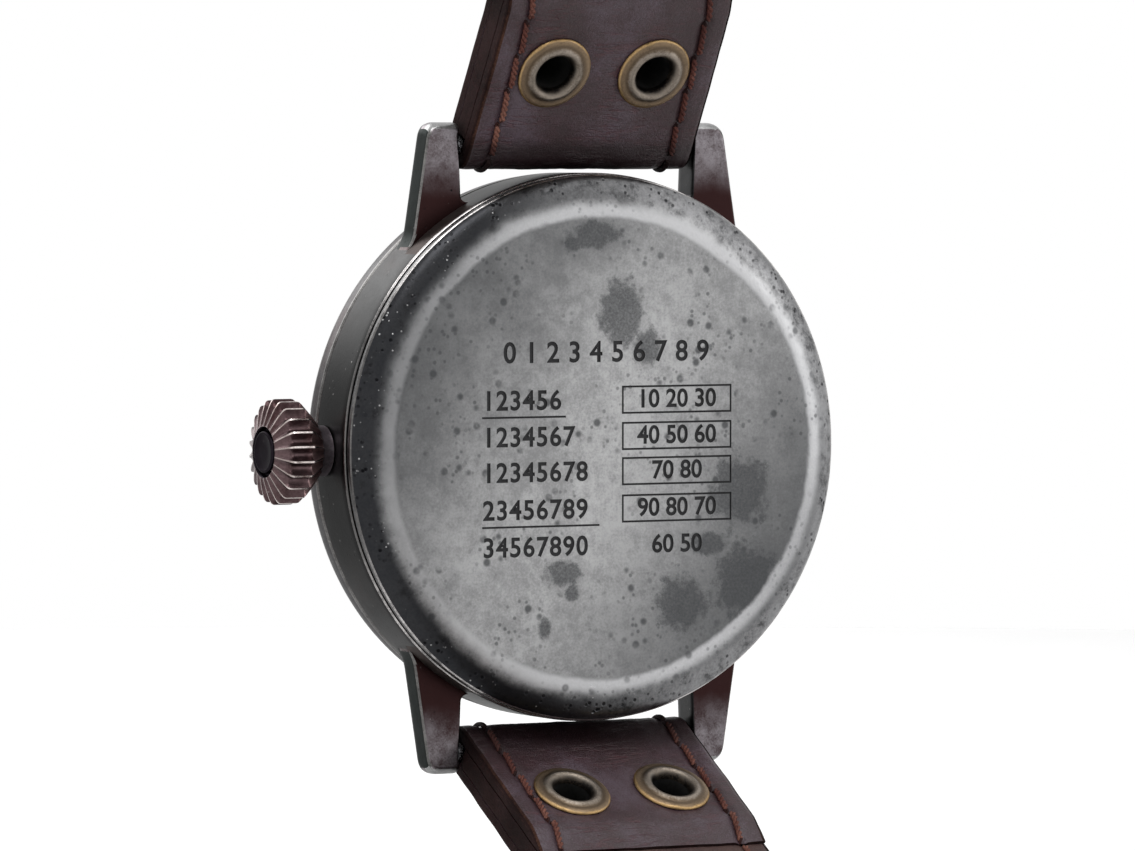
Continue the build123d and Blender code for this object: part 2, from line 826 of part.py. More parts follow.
def make_main_plate():
    with BuildPart() as main_plate:
        with BuildSketch(Plane.XZ.offset(plate_back_depth)):
            Circle(plate_radius)
            Circle(centre_bore, mode=Mode.SUBTRACT)
            with Locations(*screw_points()):
                Circle(screw_shank_radius, mode=Mode.SUBTRACT)
        extrude(amount=plate_front_depth - plate_back_depth)
        with BuildSketch(Plane.XZ.offset(plate_back_depth)):
            with Locations(barrel_centre):
                Circle(barrel_recess_radius)
            Circle(2 * centre_bore, mode=Mode.SUBTRACT)
        extrude(amount=barrel_recess_depth - plate_back_depth, mode=Mode.SUBTRACT)
        with BuildSketch(Plane.XZ.offset(plate_back_depth)):
            with Locations(barrel_centre):
                Circle(barrel_arbor_radius + run_clearance)
        extrude(amount=plate_front_depth - plate_back_depth, mode=Mode.SUBTRACT)
        # Slot of the stem and its pinions
        slot_length_in_plate = winding_pinion_start + winding_pinion_length + 2 * run_clearance - keyless_slot_start
        with BuildSketch(Plane.XZ.offset(plate_back_depth)):
            with Locations((keyless_slot_start + slot_length_in_plate / 2, 0)):
                Rectangle(slot_length_in_plate, 2 * keyless_slot_half)
        extrude(amount=plate_front_depth - plate_back_depth, mode=Mode.SUBTRACT)
        with BuildSketch(Plane.YZ.offset(stem_start)):
            with Locations((-stem_depth, 0)):
                Circle(stem_radius + pinion_bore_clearance)
        extrude(amount=plate_radius - stem_start + cut_overrun, mode=Mode.SUBTRACT)
        with BuildSketch(Plane.YZ.offset(stem_pilot_start - seat_clearance)):
            with Locations((-stem_depth, 0)):
                Circle(stem_pilot_radius + run_clearance)
        extrude(amount=stem_start - stem_pilot_start + 2 * seat_clearance, mode=Mode.SUBTRACT)
        for centre in (third_centre, escape_centre, pallet_centre, balance_centre):
            with BuildSketch(Plane.XZ.offset(plate_back_depth)):
                with Locations(centre):
                    Circle(jewel_radius)
            extrude(amount=jewel_thickness, mode=Mode.SUBTRACT)
        # Posts that the dial-side wheels and levers turn on
        for centre, end in post_places():
            with BuildSketch(Plane.XZ.offset(plate_front_depth)):
                with Locations(centre):
                    Circle(post_radius)
            extrude(amount=end - plate_front_depth)
    return main_plate.part


def make_bridge(outline, foot_angles, screw_angles, jewel_centres, bores):
    wedge = [(0, 0)]
    start_angle, end_angle = foot_angles
    reach = 2 * plate_radius
    for angle in (start_angle, (start_angle + end_angle) / 2, end_angle):
        wedge.append(polar(reach, angle))
    with BuildPart() as bridge:
        with BuildSketch(Plane.XZ.offset(bridge_back_depth)):
            Polygon(*outline, align=None)
            Circle(bridge_radius, mode=Mode.INTERSECT)
        extrude(amount=bridge_front_depth - bridge_back_depth)
        with BuildSketch(Plane.XZ.offset(bridge_front_depth)):
            Circle(bridge_radius)
            Circle(foot_inner_radius, mode=Mode.SUBTRACT)
            Polygon(*wedge, align=None, mode=Mode.INTERSECT)
        extrude(amount=plate_back_depth - bridge_front_depth)
        with BuildSketch(Plane.XZ.offset(bridge_back_depth)):
            with Locations(*[polar(screw_circle_radius, angle) for angle in screw_angles]):
                Circle(screw_shank_radius + screw_hole_clearance)
        extrude(amount=plate_back_depth - bridge_back_depth, mode=Mode.SUBTRACT)
        for centre in jewel_centres:
            with BuildSketch(Plane.XZ.offset(bridge_front_depth - jewel_thickness)):
                with Locations(centre):
                    Circle(jewel_radius)
            extrude(amount=jewel_thickness, mode=Mode.SUBTRACT)
        for centre, radius in bores:
            with BuildSketch(Plane.XZ.offset(bridge_back_depth)):
                with Locations(centre):
                    Circle(radius)
            extrude(amount=bridge_front_depth - bridge_back_depth, mode=Mode.SUBTRACT)
    return bridge.part


edge = plate_radius + cut_overrun
barrel_bridge_outline = [
    (bridge_split_near, -bridge_low_edge),
    (edge, -bridge_low_edge),
    (edge, edge),
    (-edge * 0.4, edge),
    (-edge * 0.15, edge * 0.345),
    (bridge_split_near, edge * 0.09),
]
train_bridge_outline = [
    (train_split_near, -bridge_low_edge),
    (train_split_near, edge * 0.08),
    (-edge * 0.168, edge * 0.335),
    (-edge * 0.418, edge),
    (-edge, edge),
    (-edge, -edge),
    (-edge * 0.35, -edge),
    (-edge * 0.06, -edge * 0.66),
    (edge * 0.05, -edge * 0.52),
    (edge * 0.05, -edge * 0.34),
]


def make_barrel_bridge():
    bores = [
        (barrel_centre, barrel_arbor_radius + run_clearance),
        (crown_wheel_point, crown_wheel_hub_radius + run_clearance),
    ]
    bridge = make_bridge(barrel_bridge_outline, barrel_foot_angles, barrel_screw_angles, [], bores)
    post = stepped_arbor(click_pivot(), [(post_radius, ratchet_plane, bridge_back_depth)])
    return fused(bridge, post)


def make_train_bridge():
    centres = [third_centre, middle, escape_centre]
    return make_bridge(train_bridge_outline, train_foot_angles, train_screw_angles, centres, [])


def make_balance_cock():
    foot_start = balance_radius + 3 * balance_rim_width
    reach = plate_radius
    with BuildPart() as cock:
        outer_direction = balance_direction + 38
        with BuildSketch(Plane.XZ.offset(cock_back_depth)):
            with Locations(Location((balance_centre[0], balance_centre[1], 0), (0, 0, 1), outer_direction - 2)):
                with Locations((foot_start, 0)):
                    Rectangle(2 * foot_start, 2 * cock_half_width)
                Circle(cock_half_width)
            Circle(bridge_radius, mode=Mode.INTERSECT)
        extrude(amount=cock_front_depth - cock_back_depth)
        with BuildSketch(Plane.XZ.offset(cock_front_depth)):
            with Locations(Location((balance_centre[0], balance_centre[1], 0), (0, 0, 1), outer_direction - 2)):
                with Locations((foot_start + cock_half_width / 2, 0)):
                    Rectangle(cock_half_width, 2 * cock_half_width)
            Circle(bridge_radius, mode=Mode.INTERSECT)
        extrude(amount=plate_back_depth - cock_front_depth)
        with BuildSketch(Plane.XZ.offset(cock_front_depth - jewel_thickness)):
            with Locations(balance_centre):
                Circle(jewel_radius)
        extrude(amount=jewel_thickness, mode=Mode.SUBTRACT)
        # Stud that carries the outer end of the hairspring
        with BuildSketch(Plane.XZ.offset(cock_front_depth)):
            with Locations((balance_centre[0] + hairspring_outer_radius + hairspring_thickness + stud_radius, balance_centre[1])):
                Circle(stud_radius)
        extrude(amount=hairspring_plane + hairspring_height - cock_front_depth)
    return cock.part


stud_radius = 0.22


def make_regulator():
    start = cock_back_depth - regulator_thickness
    arm = 2 * cock_half_width
    with BuildPart() as regulator:
        with BuildSketch(Plane.XZ.offset(start)):
            with Locations(balance_centre):
                Circle(jewel_radius + 2 * hairspring_thickness)
                Circle(jewel_radius - 2 * hairspring_thickness, mode=Mode.SUBTRACT)
                with Locations((-arm / 2 - jewel_radius / 2, 0)):
                    Rectangle(arm, jewel_radius)
        extrude(amount=regulator_thickness)
    return regulator.part


def make_pallet_cock():
    away = line_direction - 90
    foot = 5.5 * jewel_radius
    with BuildPart() as cock:
        with BuildSketch(Plane.XZ.offset(pallet_cock_plane)):
            with Locations(Location((pallet_centre[0], pallet_centre[1], 0), (0, 0, 1), away)):
                with Locations((foot / 2, 0)):
                    Rectangle(foot + jewel_radius, 2 * jewel_radius)
            with Locations(pallet_centre):
                Circle(pivot_radius + run_clearance, mode=Mode.SUBTRACT)
        extrude(amount=pallet_cock_thickness)
        with BuildSketch(Plane.XZ.offset(pallet_cock_plane + pallet_cock_thickness)):
            with Locations(Location((pallet_centre[0], pallet_centre[1], 0), (0, 0, 1), away)):
                with Locations((foot, 0)):
                    Rectangle(jewel_radius, 2 * jewel_radius)
        extrude(amount=plate_back_depth - pallet_cock_plane - pallet_cock_thickness)
    return cock.part


# Phases that keep every pair of gears in mesh at rest
centre_phase = 0
third_pinion_phase = meshed_phase(centre_phase, centre_teeth, third_pinion_teeth, third_direction)
third_phase = 0
fourth_pinion_phase = meshed_phase(third_phase, third_teeth, fourth_pinion_teeth, third_direction + half_turn)
fourth_phase = 0
escape_pinion_phase = meshed_phase(fourth_phase, fourth_teeth, escape_pinion_teeth, escape_direction)
barrel_phase = 0
centre_pinion_phase = meshed_phase(barrel_phase, barrel_teeth, centre_pinion_teeth, barrel_direction + half_turn)
cannon_phase = 0
minute_phase = meshed_phase(cannon_phase, cannon_teeth, minute_teeth, 0)
setting_phase = meshed_phase(minute_phase, minute_teeth, setting_teeth, 0)
minute_pinion_phase = 0
hour_phase = meshed_phase(minute_pinion_phase, minute_pinion_teeth, hour_teeth, half_turn)
ratchet_phase = 0
crown_wheel_phase = meshed_phase(ratchet_phase, ratchet_teeth, crown_wheel_teeth, ratchet_line)

upper_face = bridge_front_depth + end_shake
lower_face = plate_back_depth - end_shake


def pivoted(centre, body_radius):
    steps = [
        (pivot_radius, bridge_front_depth - pivot_length, upper_face),
        (body_radius, upper_face, lower_face),
        (pivot_radius, lower_face, plate_back_depth + pivot_length),
    ]
    return stepped_arbor(centre, steps)


def make_barrel_drum():
    radius = great_module * (barrel_teeth / 2 - tooth_dedendum_share) - run_clearance
    inside = radius - barrel_wall
    bore = barrel_arbor_radius + run_clearance
    with BuildPart() as drum:
        with BuildSketch(Plane.XZ.offset(barrel_plane)):
            with Locations(barrel_centre):
                Polygon(*toothed(barrel_teeth, great_module, barrel_phase), align=None)
                Circle(inside, mode=Mode.SUBTRACT)
        extrude(amount=barrel_rim_thickness)
        with BuildSketch(Plane.XZ.offset(barrel_plane + barrel_rim_thickness)):
            with Locations(barrel_centre):
                Circle(radius)
                Circle(inside, mode=Mode.SUBTRACT)
        extrude(amount=barrel_depth - barrel_plane - barrel_rim_thickness)
        with BuildSketch(Plane.XZ.offset(barrel_depth - barrel_floor)):
            with Locations(barrel_centre):
                Circle(inside)
                Circle(bore, mode=Mode.SUBTRACT)
        extrude(amount=barrel_floor)
    return drum.part


def make_barrel_cover():
    radius = great_module * (barrel_teeth / 2 - tooth_dedendum_share) - run_clearance - barrel_wall
    with BuildPart() as cover:
        with BuildSketch(Plane.XZ.offset(barrel_plane)):
            with Locations(barrel_centre):
                Circle(radius)
                Circle(barrel_arbor_radius + run_clearance, mode=Mode.SUBTRACT)
        extrude(amount=barrel_floor)
    return cover.part


def make_mainspring():
    outer = great_module * (barrel_teeth / 2 - tooth_dedendum_share) - run_clearance - barrel_wall - mainspring_thickness
    inner = barrel_arbor_core + run_clearance
    start = barrel_plane + barrel_floor + run_clearance
    height = barrel_depth - barrel_floor - start
    with BuildPart() as mainspring:
        with BuildSketch(Plane.XZ.offset(start)):
            with Locations(barrel_centre):
                Polygon(*spiral(inner, outer, mainspring_thickness, mainspring_turns, 24), align=None)
        extrude(amount=height)
    return mainspring.part


def make_barrel_arbor():
    core_start = barrel_plane + barrel_floor + run_clearance
    core_end = barrel_depth - barrel_floor - run_clearance
    steps = [
        (barrel_arbor_radius, bridge_back_depth, plate_front_depth - run_clearance),
        (barrel_arbor_core, core_start, core_end),
    ]
    return stepped_arbor(barrel_centre, steps)


def make_ratchet_wheel():
    wheel = toothed_wheel(
        barrel_centre, ratchet_teeth, ratchet_module, ratchet_phase, ratchet_plane, ratchet_thickness, 0, 0
    )
    hub = stepped_arbor(barrel_centre, [(barrel_arbor_radius, ratchet_plane, bridge_back_depth)])
    return fused(wheel, hub)


def make_crown_wheel():
    wheel = toothed_wheel(
        crown_wheel_point, crown_wheel_teeth, ratchet_module, crown_wheel_phase, ratchet_plane, ratchet_thickness, 0, 0
    )
    hub = stepped_arbor(crown_wheel_point, [(crown_wheel_hub_radius, ratchet_plane, contrate_plane)])
    module = 2 * contrate_radius / (contrate_teeth + 2 * tooth_addendum_share)
    lower = toothed_wheel(crown_wheel_point, contrate_teeth, module, 0, contrate_plane, contrate_thickness, 0, 0)
    return fused(wheel, hub, lower)


click_reach = 7.05
click_direction = 134
click_width = 0.9
click_length = 3.4
click_spring_gap = 0.45


def click_corner():
    tip = polar(click_reach, click_direction)
    return (barrel_centre[0] + tip[0], barrel_centre[1] + tip[1])


def click_pivot():
    corner = click_corner()
    along = polar(click_length - click_width / 2, click_direction - 90)
    across = polar(click_width / 2, click_direction)
    return (corner[0] + along[0] + across[0], corner[1] + along[1] + across[1])


def make_click():
    centre = click_corner()
    with BuildPart() as click:
        with BuildSketch(Plane.XZ.offset(ratchet_plane)):
            with Locations(Location((centre[0], centre[1], 0), (0, 0, 1), click_direction - 90)):
                Rectangle(click_length, click_width, align=(Align.MIN, Align.MIN))
            with Locations(click_pivot()):
                Circle(post_bore_radius, mode=Mode.SUBTRACT)
        extrude(amount=ratchet_thickness)
    return click.part


def make_click_spring():
    start = polar(click_reach + click_width + click_spring_gap, click_direction)
    centre = (barrel_centre[0] + start[0], barrel_centre[1] + start[1])
    with BuildPart() as spring:
        with BuildSketch(Plane.XZ.offset(ratchet_plane + run_clearance)):
            with Locations(Location((centre[0], centre[1], 0), (0, 0, 1), click_direction - 90)):
                Rectangle(click_length, mainspring_thickness, align=(Align.MIN, Align.MIN))
        extrude(amount=bridge_back_depth - ratchet_plane - run_clearance)
    return spring.part


def make_centre_wheel():
    wheel = toothed_wheel(
        middle, centre_teeth, great_module, centre_phase, centre_plane, wheel_thickness, 4, centre_arbor_bore
    )
    pinion = toothed_wheel(
        middle,
        centre_pinion_teeth,
        great_module,
        centre_pinion_phase,
        centre_plane + wheel_thickness,
        barrel_plane + barrel_rim_thickness - centre_plane - wheel_thickness,
        0,
        centre_arbor_bore,
    )
    with BuildPart() as tube:
        with BuildSketch(Plane.XZ.offset(centre_plane)):
            Circle(centre_arbor_radius)
            Circle(centre_arbor_bore, mode=Mode.SUBTRACT)
        extrude(amount=minute_hand_depth - centre_plane)
    return fused(wheel, pinion, tube.part)


def make_third_wheel():
    wheel = toothed_wheel(third_centre, third_teeth, third_module, third_phase, third_plane, wheel_thickness, 4, 0)
    pinion = toothed_wheel(
        third_centre,
        third_pinion_teeth,
        great_module,
        third_pinion_phase,
        third_plane + wheel_thickness,
        centre_plane + 2 * wheel_thickness - third_plane - wheel_thickness,
        0,
        0,
    )
    return fused(wheel, pinion, pivoted(third_centre, arbor_radius))


def make_fourth_wheel():
    wheel = toothed_wheel(middle, fourth_teeth, great_module, fourth_phase, fourth_plane, wheel_thickness, 4, 0)
    pinion = toothed_wheel(
        middle,
        fourth_pinion_teeth,
        third_module,
        fourth_pinion_phase,
        fourth_plane + wheel_thickness,
        third_plane + wheel_thickness - fourth_plane - wheel_thickness,
        0,
        0,
    )
    steps = [
        (pivot_radius, bridge_front_depth - pivot_length, upper_face),
        (seconds_arbor_radius, upper_face, seconds_hand_depth),
    ]
    return fused(wheel, pinion, stepped_arbor(middle, steps))


def make_escape_wheel():
    points = []
    pitch = full_turn / escape_teeth
    root = escape_radius * 0.78
    for tooth in range(escape_teeth):
        angle = pitch * tooth
        points.append(polar(root, angle))
        points.append(polar(escape_radius, angle + pitch * 0.55))
        points.append(polar(escape_radius, angle + pitch * 0.7))
        points.append(polar(root, angle + pitch * 0.6))
    rim = root * wheel_rim_share
    with BuildPart() as wheel:
        with BuildSketch(Plane.XZ.offset(third_plane)):
            with Locations(escape_centre):
                Polygon(*points, align=None)
                Circle(rim, mode=Mode.SUBTRACT)
                Circle(2 * arbor_radius)
                with PolarLocations(rim / 2, 4):
                    Rectangle(rim, root * wheel_spoke_share)
        extrude(amount=wheel_thickness)
    pinion = toothed_wheel(
        escape_centre,
        escape_pinion_teeth,
        great_module,
        escape_pinion_phase,
        fourth_plane,
        third_plane - fourth_plane,
        0,
        0,
    )
    return fused(wheel.part, pinion, pivoted(escape_centre, arbor_radius))


def make_pallet_fork():
    reach = line_length - pallet_distance - impulse_circle - impulse_radius - run_clearance
    half = 2 * impulse_radius
    arm = 0.66 * pallet_distance
    drop = 0.3 * pallet_distance
    outline = [
        (reach, half * 1.6),
        (reach - half, half * 1.6),
        (2 * half, half),
        (-drop + 2 * half, arm),
        (-drop - half, arm),
        (-half, 0),
        (-drop - half, -arm),
        (-drop + 2 * half, -arm),
        (2 * half, -half),
        (reach - half, -half * 1.6),
        (reach, -half * 1.6),
        (reach, -half * 0.7),
        (reach - half, -half * 0.7),
        (reach - half, half * 0.7),
        (reach, half * 0.7),
    ]
    with BuildPart() as fork:
        with BuildSketch(Plane.XZ.offset(third_plane)):
            with Locations(Location((pallet_centre[0], pallet_centre[1], 0), (0, 0, 1), line_direction)):
                Polygon(*outline, align=None)
        extrude(amount=wheel_thickness)
    body_start = pallet_cock_plane + pallet_cock_thickness + end_shake
    steps = [
        (pivot_radius, pallet_cock_plane, body_start),
        (arbor_radius, body_start, lower_face),
        (pivot_radius, lower_face, plate_back_depth + pivot_length),
    ]
    return fused(fork.part, stepped_arbor(pallet_centre, steps))


def make_balance_wheel():
    inner = balance_radius - balance_rim_width
    with BuildPart() as rim:
        with BuildSketch(Plane.XZ.offset(balance_plane)):
            with Locations(balance_centre):
                Circle(balance_radius)
                Circle(inner, mode=Mode.SUBTRACT)
                Circle(2 * arbor_radius)
                with PolarLocations(inner / 2, 3):
                    Rectangle(inner + balance_rim_width / 2, balance_rim_width)
        extrude(amount=balance_thickness)
        with BuildSketch(Plane.XZ.offset(fourth_plane)):
            with Locations(balance_centre):
                Circle(roller_radius + impulse_radius)
        extrude(amount=wheel_thickness)
        with BuildSketch(Plane.XZ.offset(fourth_plane)):
            with Locations(Location((balance_centre[0], balance_centre[1], 0), (0, 0, 1), line_direction + half_turn)):
                with Locations((impulse_circle, 0)):
                    Circle(impulse_radius)
        extrude(amount=third_plane + wheel_thickness - fourth_plane)
    top = cock_front_depth + end_shake
    steps = [
        (pivot_radius, cock_front_depth - pivot_length, top),
        (arbor_radius, top, lower_face),
        (pivot_radius, lower_face, plate_back_depth + pivot_length),
    ]
    return fused(rim.part, stepped_arbor(balance_centre, steps))


def make_hairspring():
    with BuildPart() as hairspring:
        with BuildSketch(Plane.XZ.offset(hairspring_plane)):
            with Locations(balance_centre):
                Polygon(
                    *spiral(hairspring_inner_radius, hairspring_outer_radius, hairspring_thickness, hairspring_turns, 24),
                    align=None,
                )
        extrude(amount=hairspring_height)
    return hairspring.part


def make_cannon_pinion():
    teeth = toothed_wheel(
        middle,
        cannon_teeth,
        motion_module,
        cannon_phase,
        motion_plane,
        hour_plane - motion_plane - run_clearance,
        0,
        centre_arbor_radius,
    )
    with BuildPart() as pipe:
        with BuildSketch(Plane.XZ.offset(motion_plane)):
            Circle(cannon_pipe_radius)
            Circle(centre_arbor_radius, mode=Mode.SUBTRACT)
        extrude(amount=minute_hand_depth - motion_plane)
    return fused(teeth, pipe.part)


def make_hour_wheel():
    bore = cannon_pipe_radius + run_clearance
    wheel = toothed_wheel(middle, hour_teeth, hour_module, hour_phase, hour_plane, wheel_thickness, 0, bore)
    with BuildPart() as pipe:
        with BuildSketch(Plane.XZ.offset(hour_plane)):
            Circle(hour_pipe_radius)
            Circle(bore, mode=Mode.SUBTRACT)
        extrude(amount=hour_hand_depth + hand_thickness - hour_plane)
    return fused(wheel, pipe.part)


def make_minute_wheel():
    bore = post_bore_radius
    wheel = toothed_wheel(minute_centre, minute_teeth, motion_module, minute_phase, motion_plane, wheel_thickness, 0, bore)
    pinion = toothed_wheel(
        minute_centre,
        minute_pinion_teeth,
        hour_module,
        minute_pinion_phase,
        motion_plane + wheel_thickness,
        hour_plane - motion_plane,
        0,
        bore,
    )
    return fused(wheel, pinion)


def make_setting_wheel():
    bore = post_bore_radius
    return toothed_wheel(
        setting_centre, setting_teeth, motion_module, setting_phase, motion_plane, wheel_thickness, 0, bore
    )


lever_pivot = (13.4, -4.4)
lever_nose_x = 15.0
yoke_pivot = (8.9, -5.0)
yoke_nose = (11.45, -1.15)
jumper_points = [(12.3, -8.2), (15.0, -6.4), (14.7, -5.9), (12.0, -7.7)]


def make_setting_lever():
    nose_half = lever_width * 0.28
    outline = [
        (lever_nose_x - nose_half, 0),
        (lever_nose_x - nose_half, lever_pivot[1] * 0.5),
        (lever_pivot[0] - lever_width / 2, lever_pivot[1]),
        (lever_pivot[0] - lever_width / 2, lever_pivot[1] - lever_width),
        (lever_pivot[0] + lever_width / 2, lever_pivot[1] - lever_width / 2),
        (lever_nose_x + nose_half, lever_pivot[1] * 0.5),
        (lever_nose_x + nose_half, 0),
    ]
    with BuildPart() as lever:
        with BuildSketch(Plane.XZ.offset(lever_plane)):
            Polygon(*outline, align=None)
            with Locations(lever_pivot):
                Circle(post_bore_radius, mode=Mode.SUBTRACT)
        extrude(amount=lever_thickness)
    return lever.part


def make_yoke():
    half = lever_width / 2
    outline = [
        (yoke_nose[0] - half * 0.5, yoke_nose[1]),
        (yoke_pivot[0] - half, yoke_pivot[1] + half),
        (yoke_pivot[0] - half, yoke_pivot[1] - half),
        (yoke_pivot[0] + half, yoke_pivot[1] - half),
        (yoke_nose[0] + half * 0.5, yoke_nose[1] - half),
        (yoke_nose[0] + half * 0.5, yoke_nose[1]),
    ]
    with BuildPart() as yoke:
        with BuildSketch(Plane.XZ.offset(lever_plane)):
            Polygon(*outline, align=None)
            with Locations(yoke_pivot):
                Circle(post_bore_radius, mode=Mode.SUBTRACT)
        extrude(amount=lever_thickness)
    return yoke.part


def make_setting_jumper():
    with BuildPart() as jumper:
        with BuildSketch(Plane.XZ.offset(plate_front_depth)):
            Polygon(*jumper_points, align=None)
        extrude(amount=lever_thickness)
    return jumper.part


# Hands show the time named above
seconds_angle = 6 * second_shown
minutes_angle = 6 * minute_shown + seconds_angle / 60
hours_angle = 30 * hour_shown + minutes_angle / 12


def make_hand(length, width, tail, start, bore, angle):
    outline = [
        (-tail, -width * 0.5),
        (length * 0.82, -width * 0.5),
        (length, 0),
        (length * 0.82, width * 0.5),
        (-tail, width * 0.5),
    ]
    with BuildPart() as hand:
        with BuildSketch(Plane.XZ.offset(start)):
            with Locations(Location((0, 0, 0), (0, 0, 1), 90 - angle)):
                Polygon(*outline, align=None)
            Circle(hand_hub_radius)
            if bore:
                Circle(bore, mode=Mode.SUBTRACT)
        extrude(amount=hand_thickness)
    return hand.part


# Strap halves: a straight run from the bar, an arc towards the wrist, a straight end
class StrapPath:
    def __init__(self, side, angle, straight, turn, end_straight, length, rivet_distance):
        self.side = side
        self.angle = math.radians(angle)
        self.straight = straight
        self.turn = math.radians(turn)
        self.arc = length - straight - end_straight
        self.radius = self.arc / self.turn
        self.length = length
        self.rivet_distance = rivet_distance

    def heading(self, run):
        share = min(max((run - self.straight) / self.arc, 0), 1)
        return self.angle + self.turn * share

    def spot(self, run, rise):
        # Point (Y, Z) at a run along the strap and a rise towards the wrist
        first = min(run, self.straight)
        y = first * math.sin(self.angle)
        z = first * math.cos(self.angle)
        end = self.heading(run)
        y += self.radius * (math.cos(self.angle) - math.cos(end))
        z += self.radius * (math.sin(end) - math.sin(self.angle))
        last = max(run - self.straight - self.arc, 0)
        y += last * math.sin(end) + rise * math.cos(end)
        z += last * math.cos(end) - rise * math.sin(end)
        return (y - spring_bar_depth, self.side * (z + spring_bar_height))

    def draw(self, rise, start, end):
        # Lines and arc along the strap from one run to another, either way
        marks = [start]
        knots = [self.straight, self.straight + self.arc]
        if start > end:
            knots = knots[::-1]
        low, high = min(start, end), max(start, end)
        marks += [knot for knot in knots if low < knot < high]
        marks.append(end)
        for a, b in zip(marks, marks[1:]):
            middle_run = (a + b) / 2
            if self.straight < middle_run < self.straight + self.arc:
                ThreePointArc(self.spot(a, rise), self.spot(middle_run, rise), self.spot(b, rise))
            else:
                Line(self.spot(a, rise), self.spot(b, rise))

    def plane(self, run, rise):
        # X across the strap, Y along it, Z out of the wrist face
        y, z = self.spot(run, rise)
        end = self.heading(run)
        along = (0, math.sin(end), self.side * math.cos(end))
        out = (0, math.cos(end), -self.side * math.sin(end))
        across = (-self.side, 0, 0)
        return Plane((0, y, z), x_dir=across, z_dir=out)


    def section(self, run):
        # X across the strap, Y out of the wrist face, Z along it
        y, z = self.spot(run, 0)
        end = self.heading(run)
        along = (0, math.sin(end), self.side * math.cos(end))
        return Plane((0, y, z), x_dir=(self.side, 0, 0), z_dir=along)


upper = StrapPath(
    1, upper_angle, upper_root_length, upper_turn_angle, upper_end_length, upper_length, upper_rivet_distance
)
lower = StrapPath(
    -1, lower_angle, lower_root_length, lower_turn_angle, lower_end_length, lower_length, lower_rivet_distance
)
fold_inner = spring_bar_radius + fold_clearance
strap_middle = (fold_inner - fold_radius) / 2
strap_half_thickness = (fold_radius + fold_inner) / 2


def chord_plane(path):
    y0, z0 = path.spot(0, 0)
    y1, z1 = path.spot(path.length, 0)
    span = math.hypot(y1 - y0, z1 - z0)
    along = (0, (y1 - y0) / span, (z1 - z0) / span)
    plane = Plane((0, y0, z0), x_dir=(1, 0, 0), z_dir=(0, -along[2], along[1]))
    return plane, span


def strap_layer(path, leather, buckle_end):
    with BuildPart() as layer:
        with BuildSketch(Plane.YZ):
            with BuildLine():
                if leather:
                    Line(path.spot(flap_length, fold_radius), path.spot(0, fold_radius))
                    ThreePointArc(path.spot(0, fold_radius), path.spot(-fold_radius, 0), path.spot(0, -fold_radius))
                    path.draw(-fold_radius, 0, path.length)
                    if buckle_end:
                        ThreePointArc(
                            path.spot(path.length, -fold_radius),
                            path.spot(path.length + strap_half_thickness, strap_middle),
                            path.spot(path.length, fold_inner),
                        )
                        back = path.length - 2 * fold_inner
                        Line(path.spot(path.length, fold_inner), path.spot(back, fold_inner))
                        Line(path.spot(back, fold_inner), path.spot(back, -fold_inner))
                        path.draw(-fold_inner, back, 0)
                    else:
                        Line(path.spot(path.length, -fold_radius), path.spot(path.length, -fold_inner))
                        path.draw(-fold_inner, path.length, 0)
                    ThreePointArc(path.spot(0, -fold_inner), path.spot(-fold_inner, 0), path.spot(0, fold_inner))
                    flap_end = flap_length + flap_skive_length
                    Line(path.spot(0, fold_inner), path.spot(flap_end, fold_inner))
                    Line(path.spot(flap_end, fold_inner), path.spot(flap_end, fold_inner + flap_skive_end))
                    Line(path.spot(flap_end, fold_inner + flap_skive_end), path.spot(flap_length, fold_radius))
                else:
                    end = path.length
                    if buckle_end:
                        end = path.length - 2 * fold_inner
                    path.draw(-fold_inner, lining_start, end)
                    Line(path.spot(end, -fold_inner), path.spot(end, fold_inner))
                    path.draw(fold_inner, end, lining_start)
                    Line(path.spot(lining_start, fold_inner), path.spot(lining_start, -fold_inner))
            make_face()
        extrude(amount=strap_lug_width / 2, both=True)
        # Taper of the width, and the round tip of the long half
        plane, span = chord_plane(path)
        half_lug = strap_lug_width / 2
        half_end = strap_buckle_width / 2
        with BuildSketch(plane):
            if buckle_end:
                far = span + 2 * fold_radius
                Polygon((-half_lug, -fold_radius * 2), (half_lug, -fold_radius * 2), (half_end, far), (-half_end, far), align=None)
            else:
                far = span - half_end
                Polygon((-half_lug, -fold_radius * 2), (half_lug, -fold_radius * 2), (half_end, far), (-half_end, far), align=None)
                with Locations((0, far)):
                    Ellipse(half_end, half_end)
        extrude(amount=span, both=True, mode=Mode.INTERSECT)
        # Rivet holes
        with BuildSketch(path.plane(path.rivet_distance, -fold_radius - cut_overrun)):
            with Locations((-rivet_half_spacing, 0), (rivet_half_spacing, 0)):
                Circle(rivet_shank_radius)
        extrude(amount=2 * fold_radius + 2 * cut_overrun, mode=Mode.SUBTRACT)
        if buckle_end:
            with BuildSketch(Plane.YZ):
                with Locations(path.spot(path.length, strap_middle)):
                    Circle(buckle_bar_radius + fold_clearance)
            extrude(amount=strap_lug_width, both=True, mode=Mode.SUBTRACT)
            with BuildSketch(path.plane(path.length, -fold_radius - cut_overrun)):
                with Locations((0, -slot_length / 2 + fold_radius)):
                    Rectangle(tongue_width + 2 * slot_clearance, slot_length + 2 * fold_radius)
            extrude(amount=2 * fold_radius + 2 * cut_overrun, mode=Mode.SUBTRACT)
        else:
            for hole in range(hole_count):
                run = path.length - hole_end_distance - hole * hole_pitch
                with BuildSketch(path.plane(run, -fold_radius - cut_overrun)):
                    Circle(hole_radius)
                extrude(amount=2 * fold_radius + 2 * cut_overrun, mode=Mode.SUBTRACT)
    return layer.part


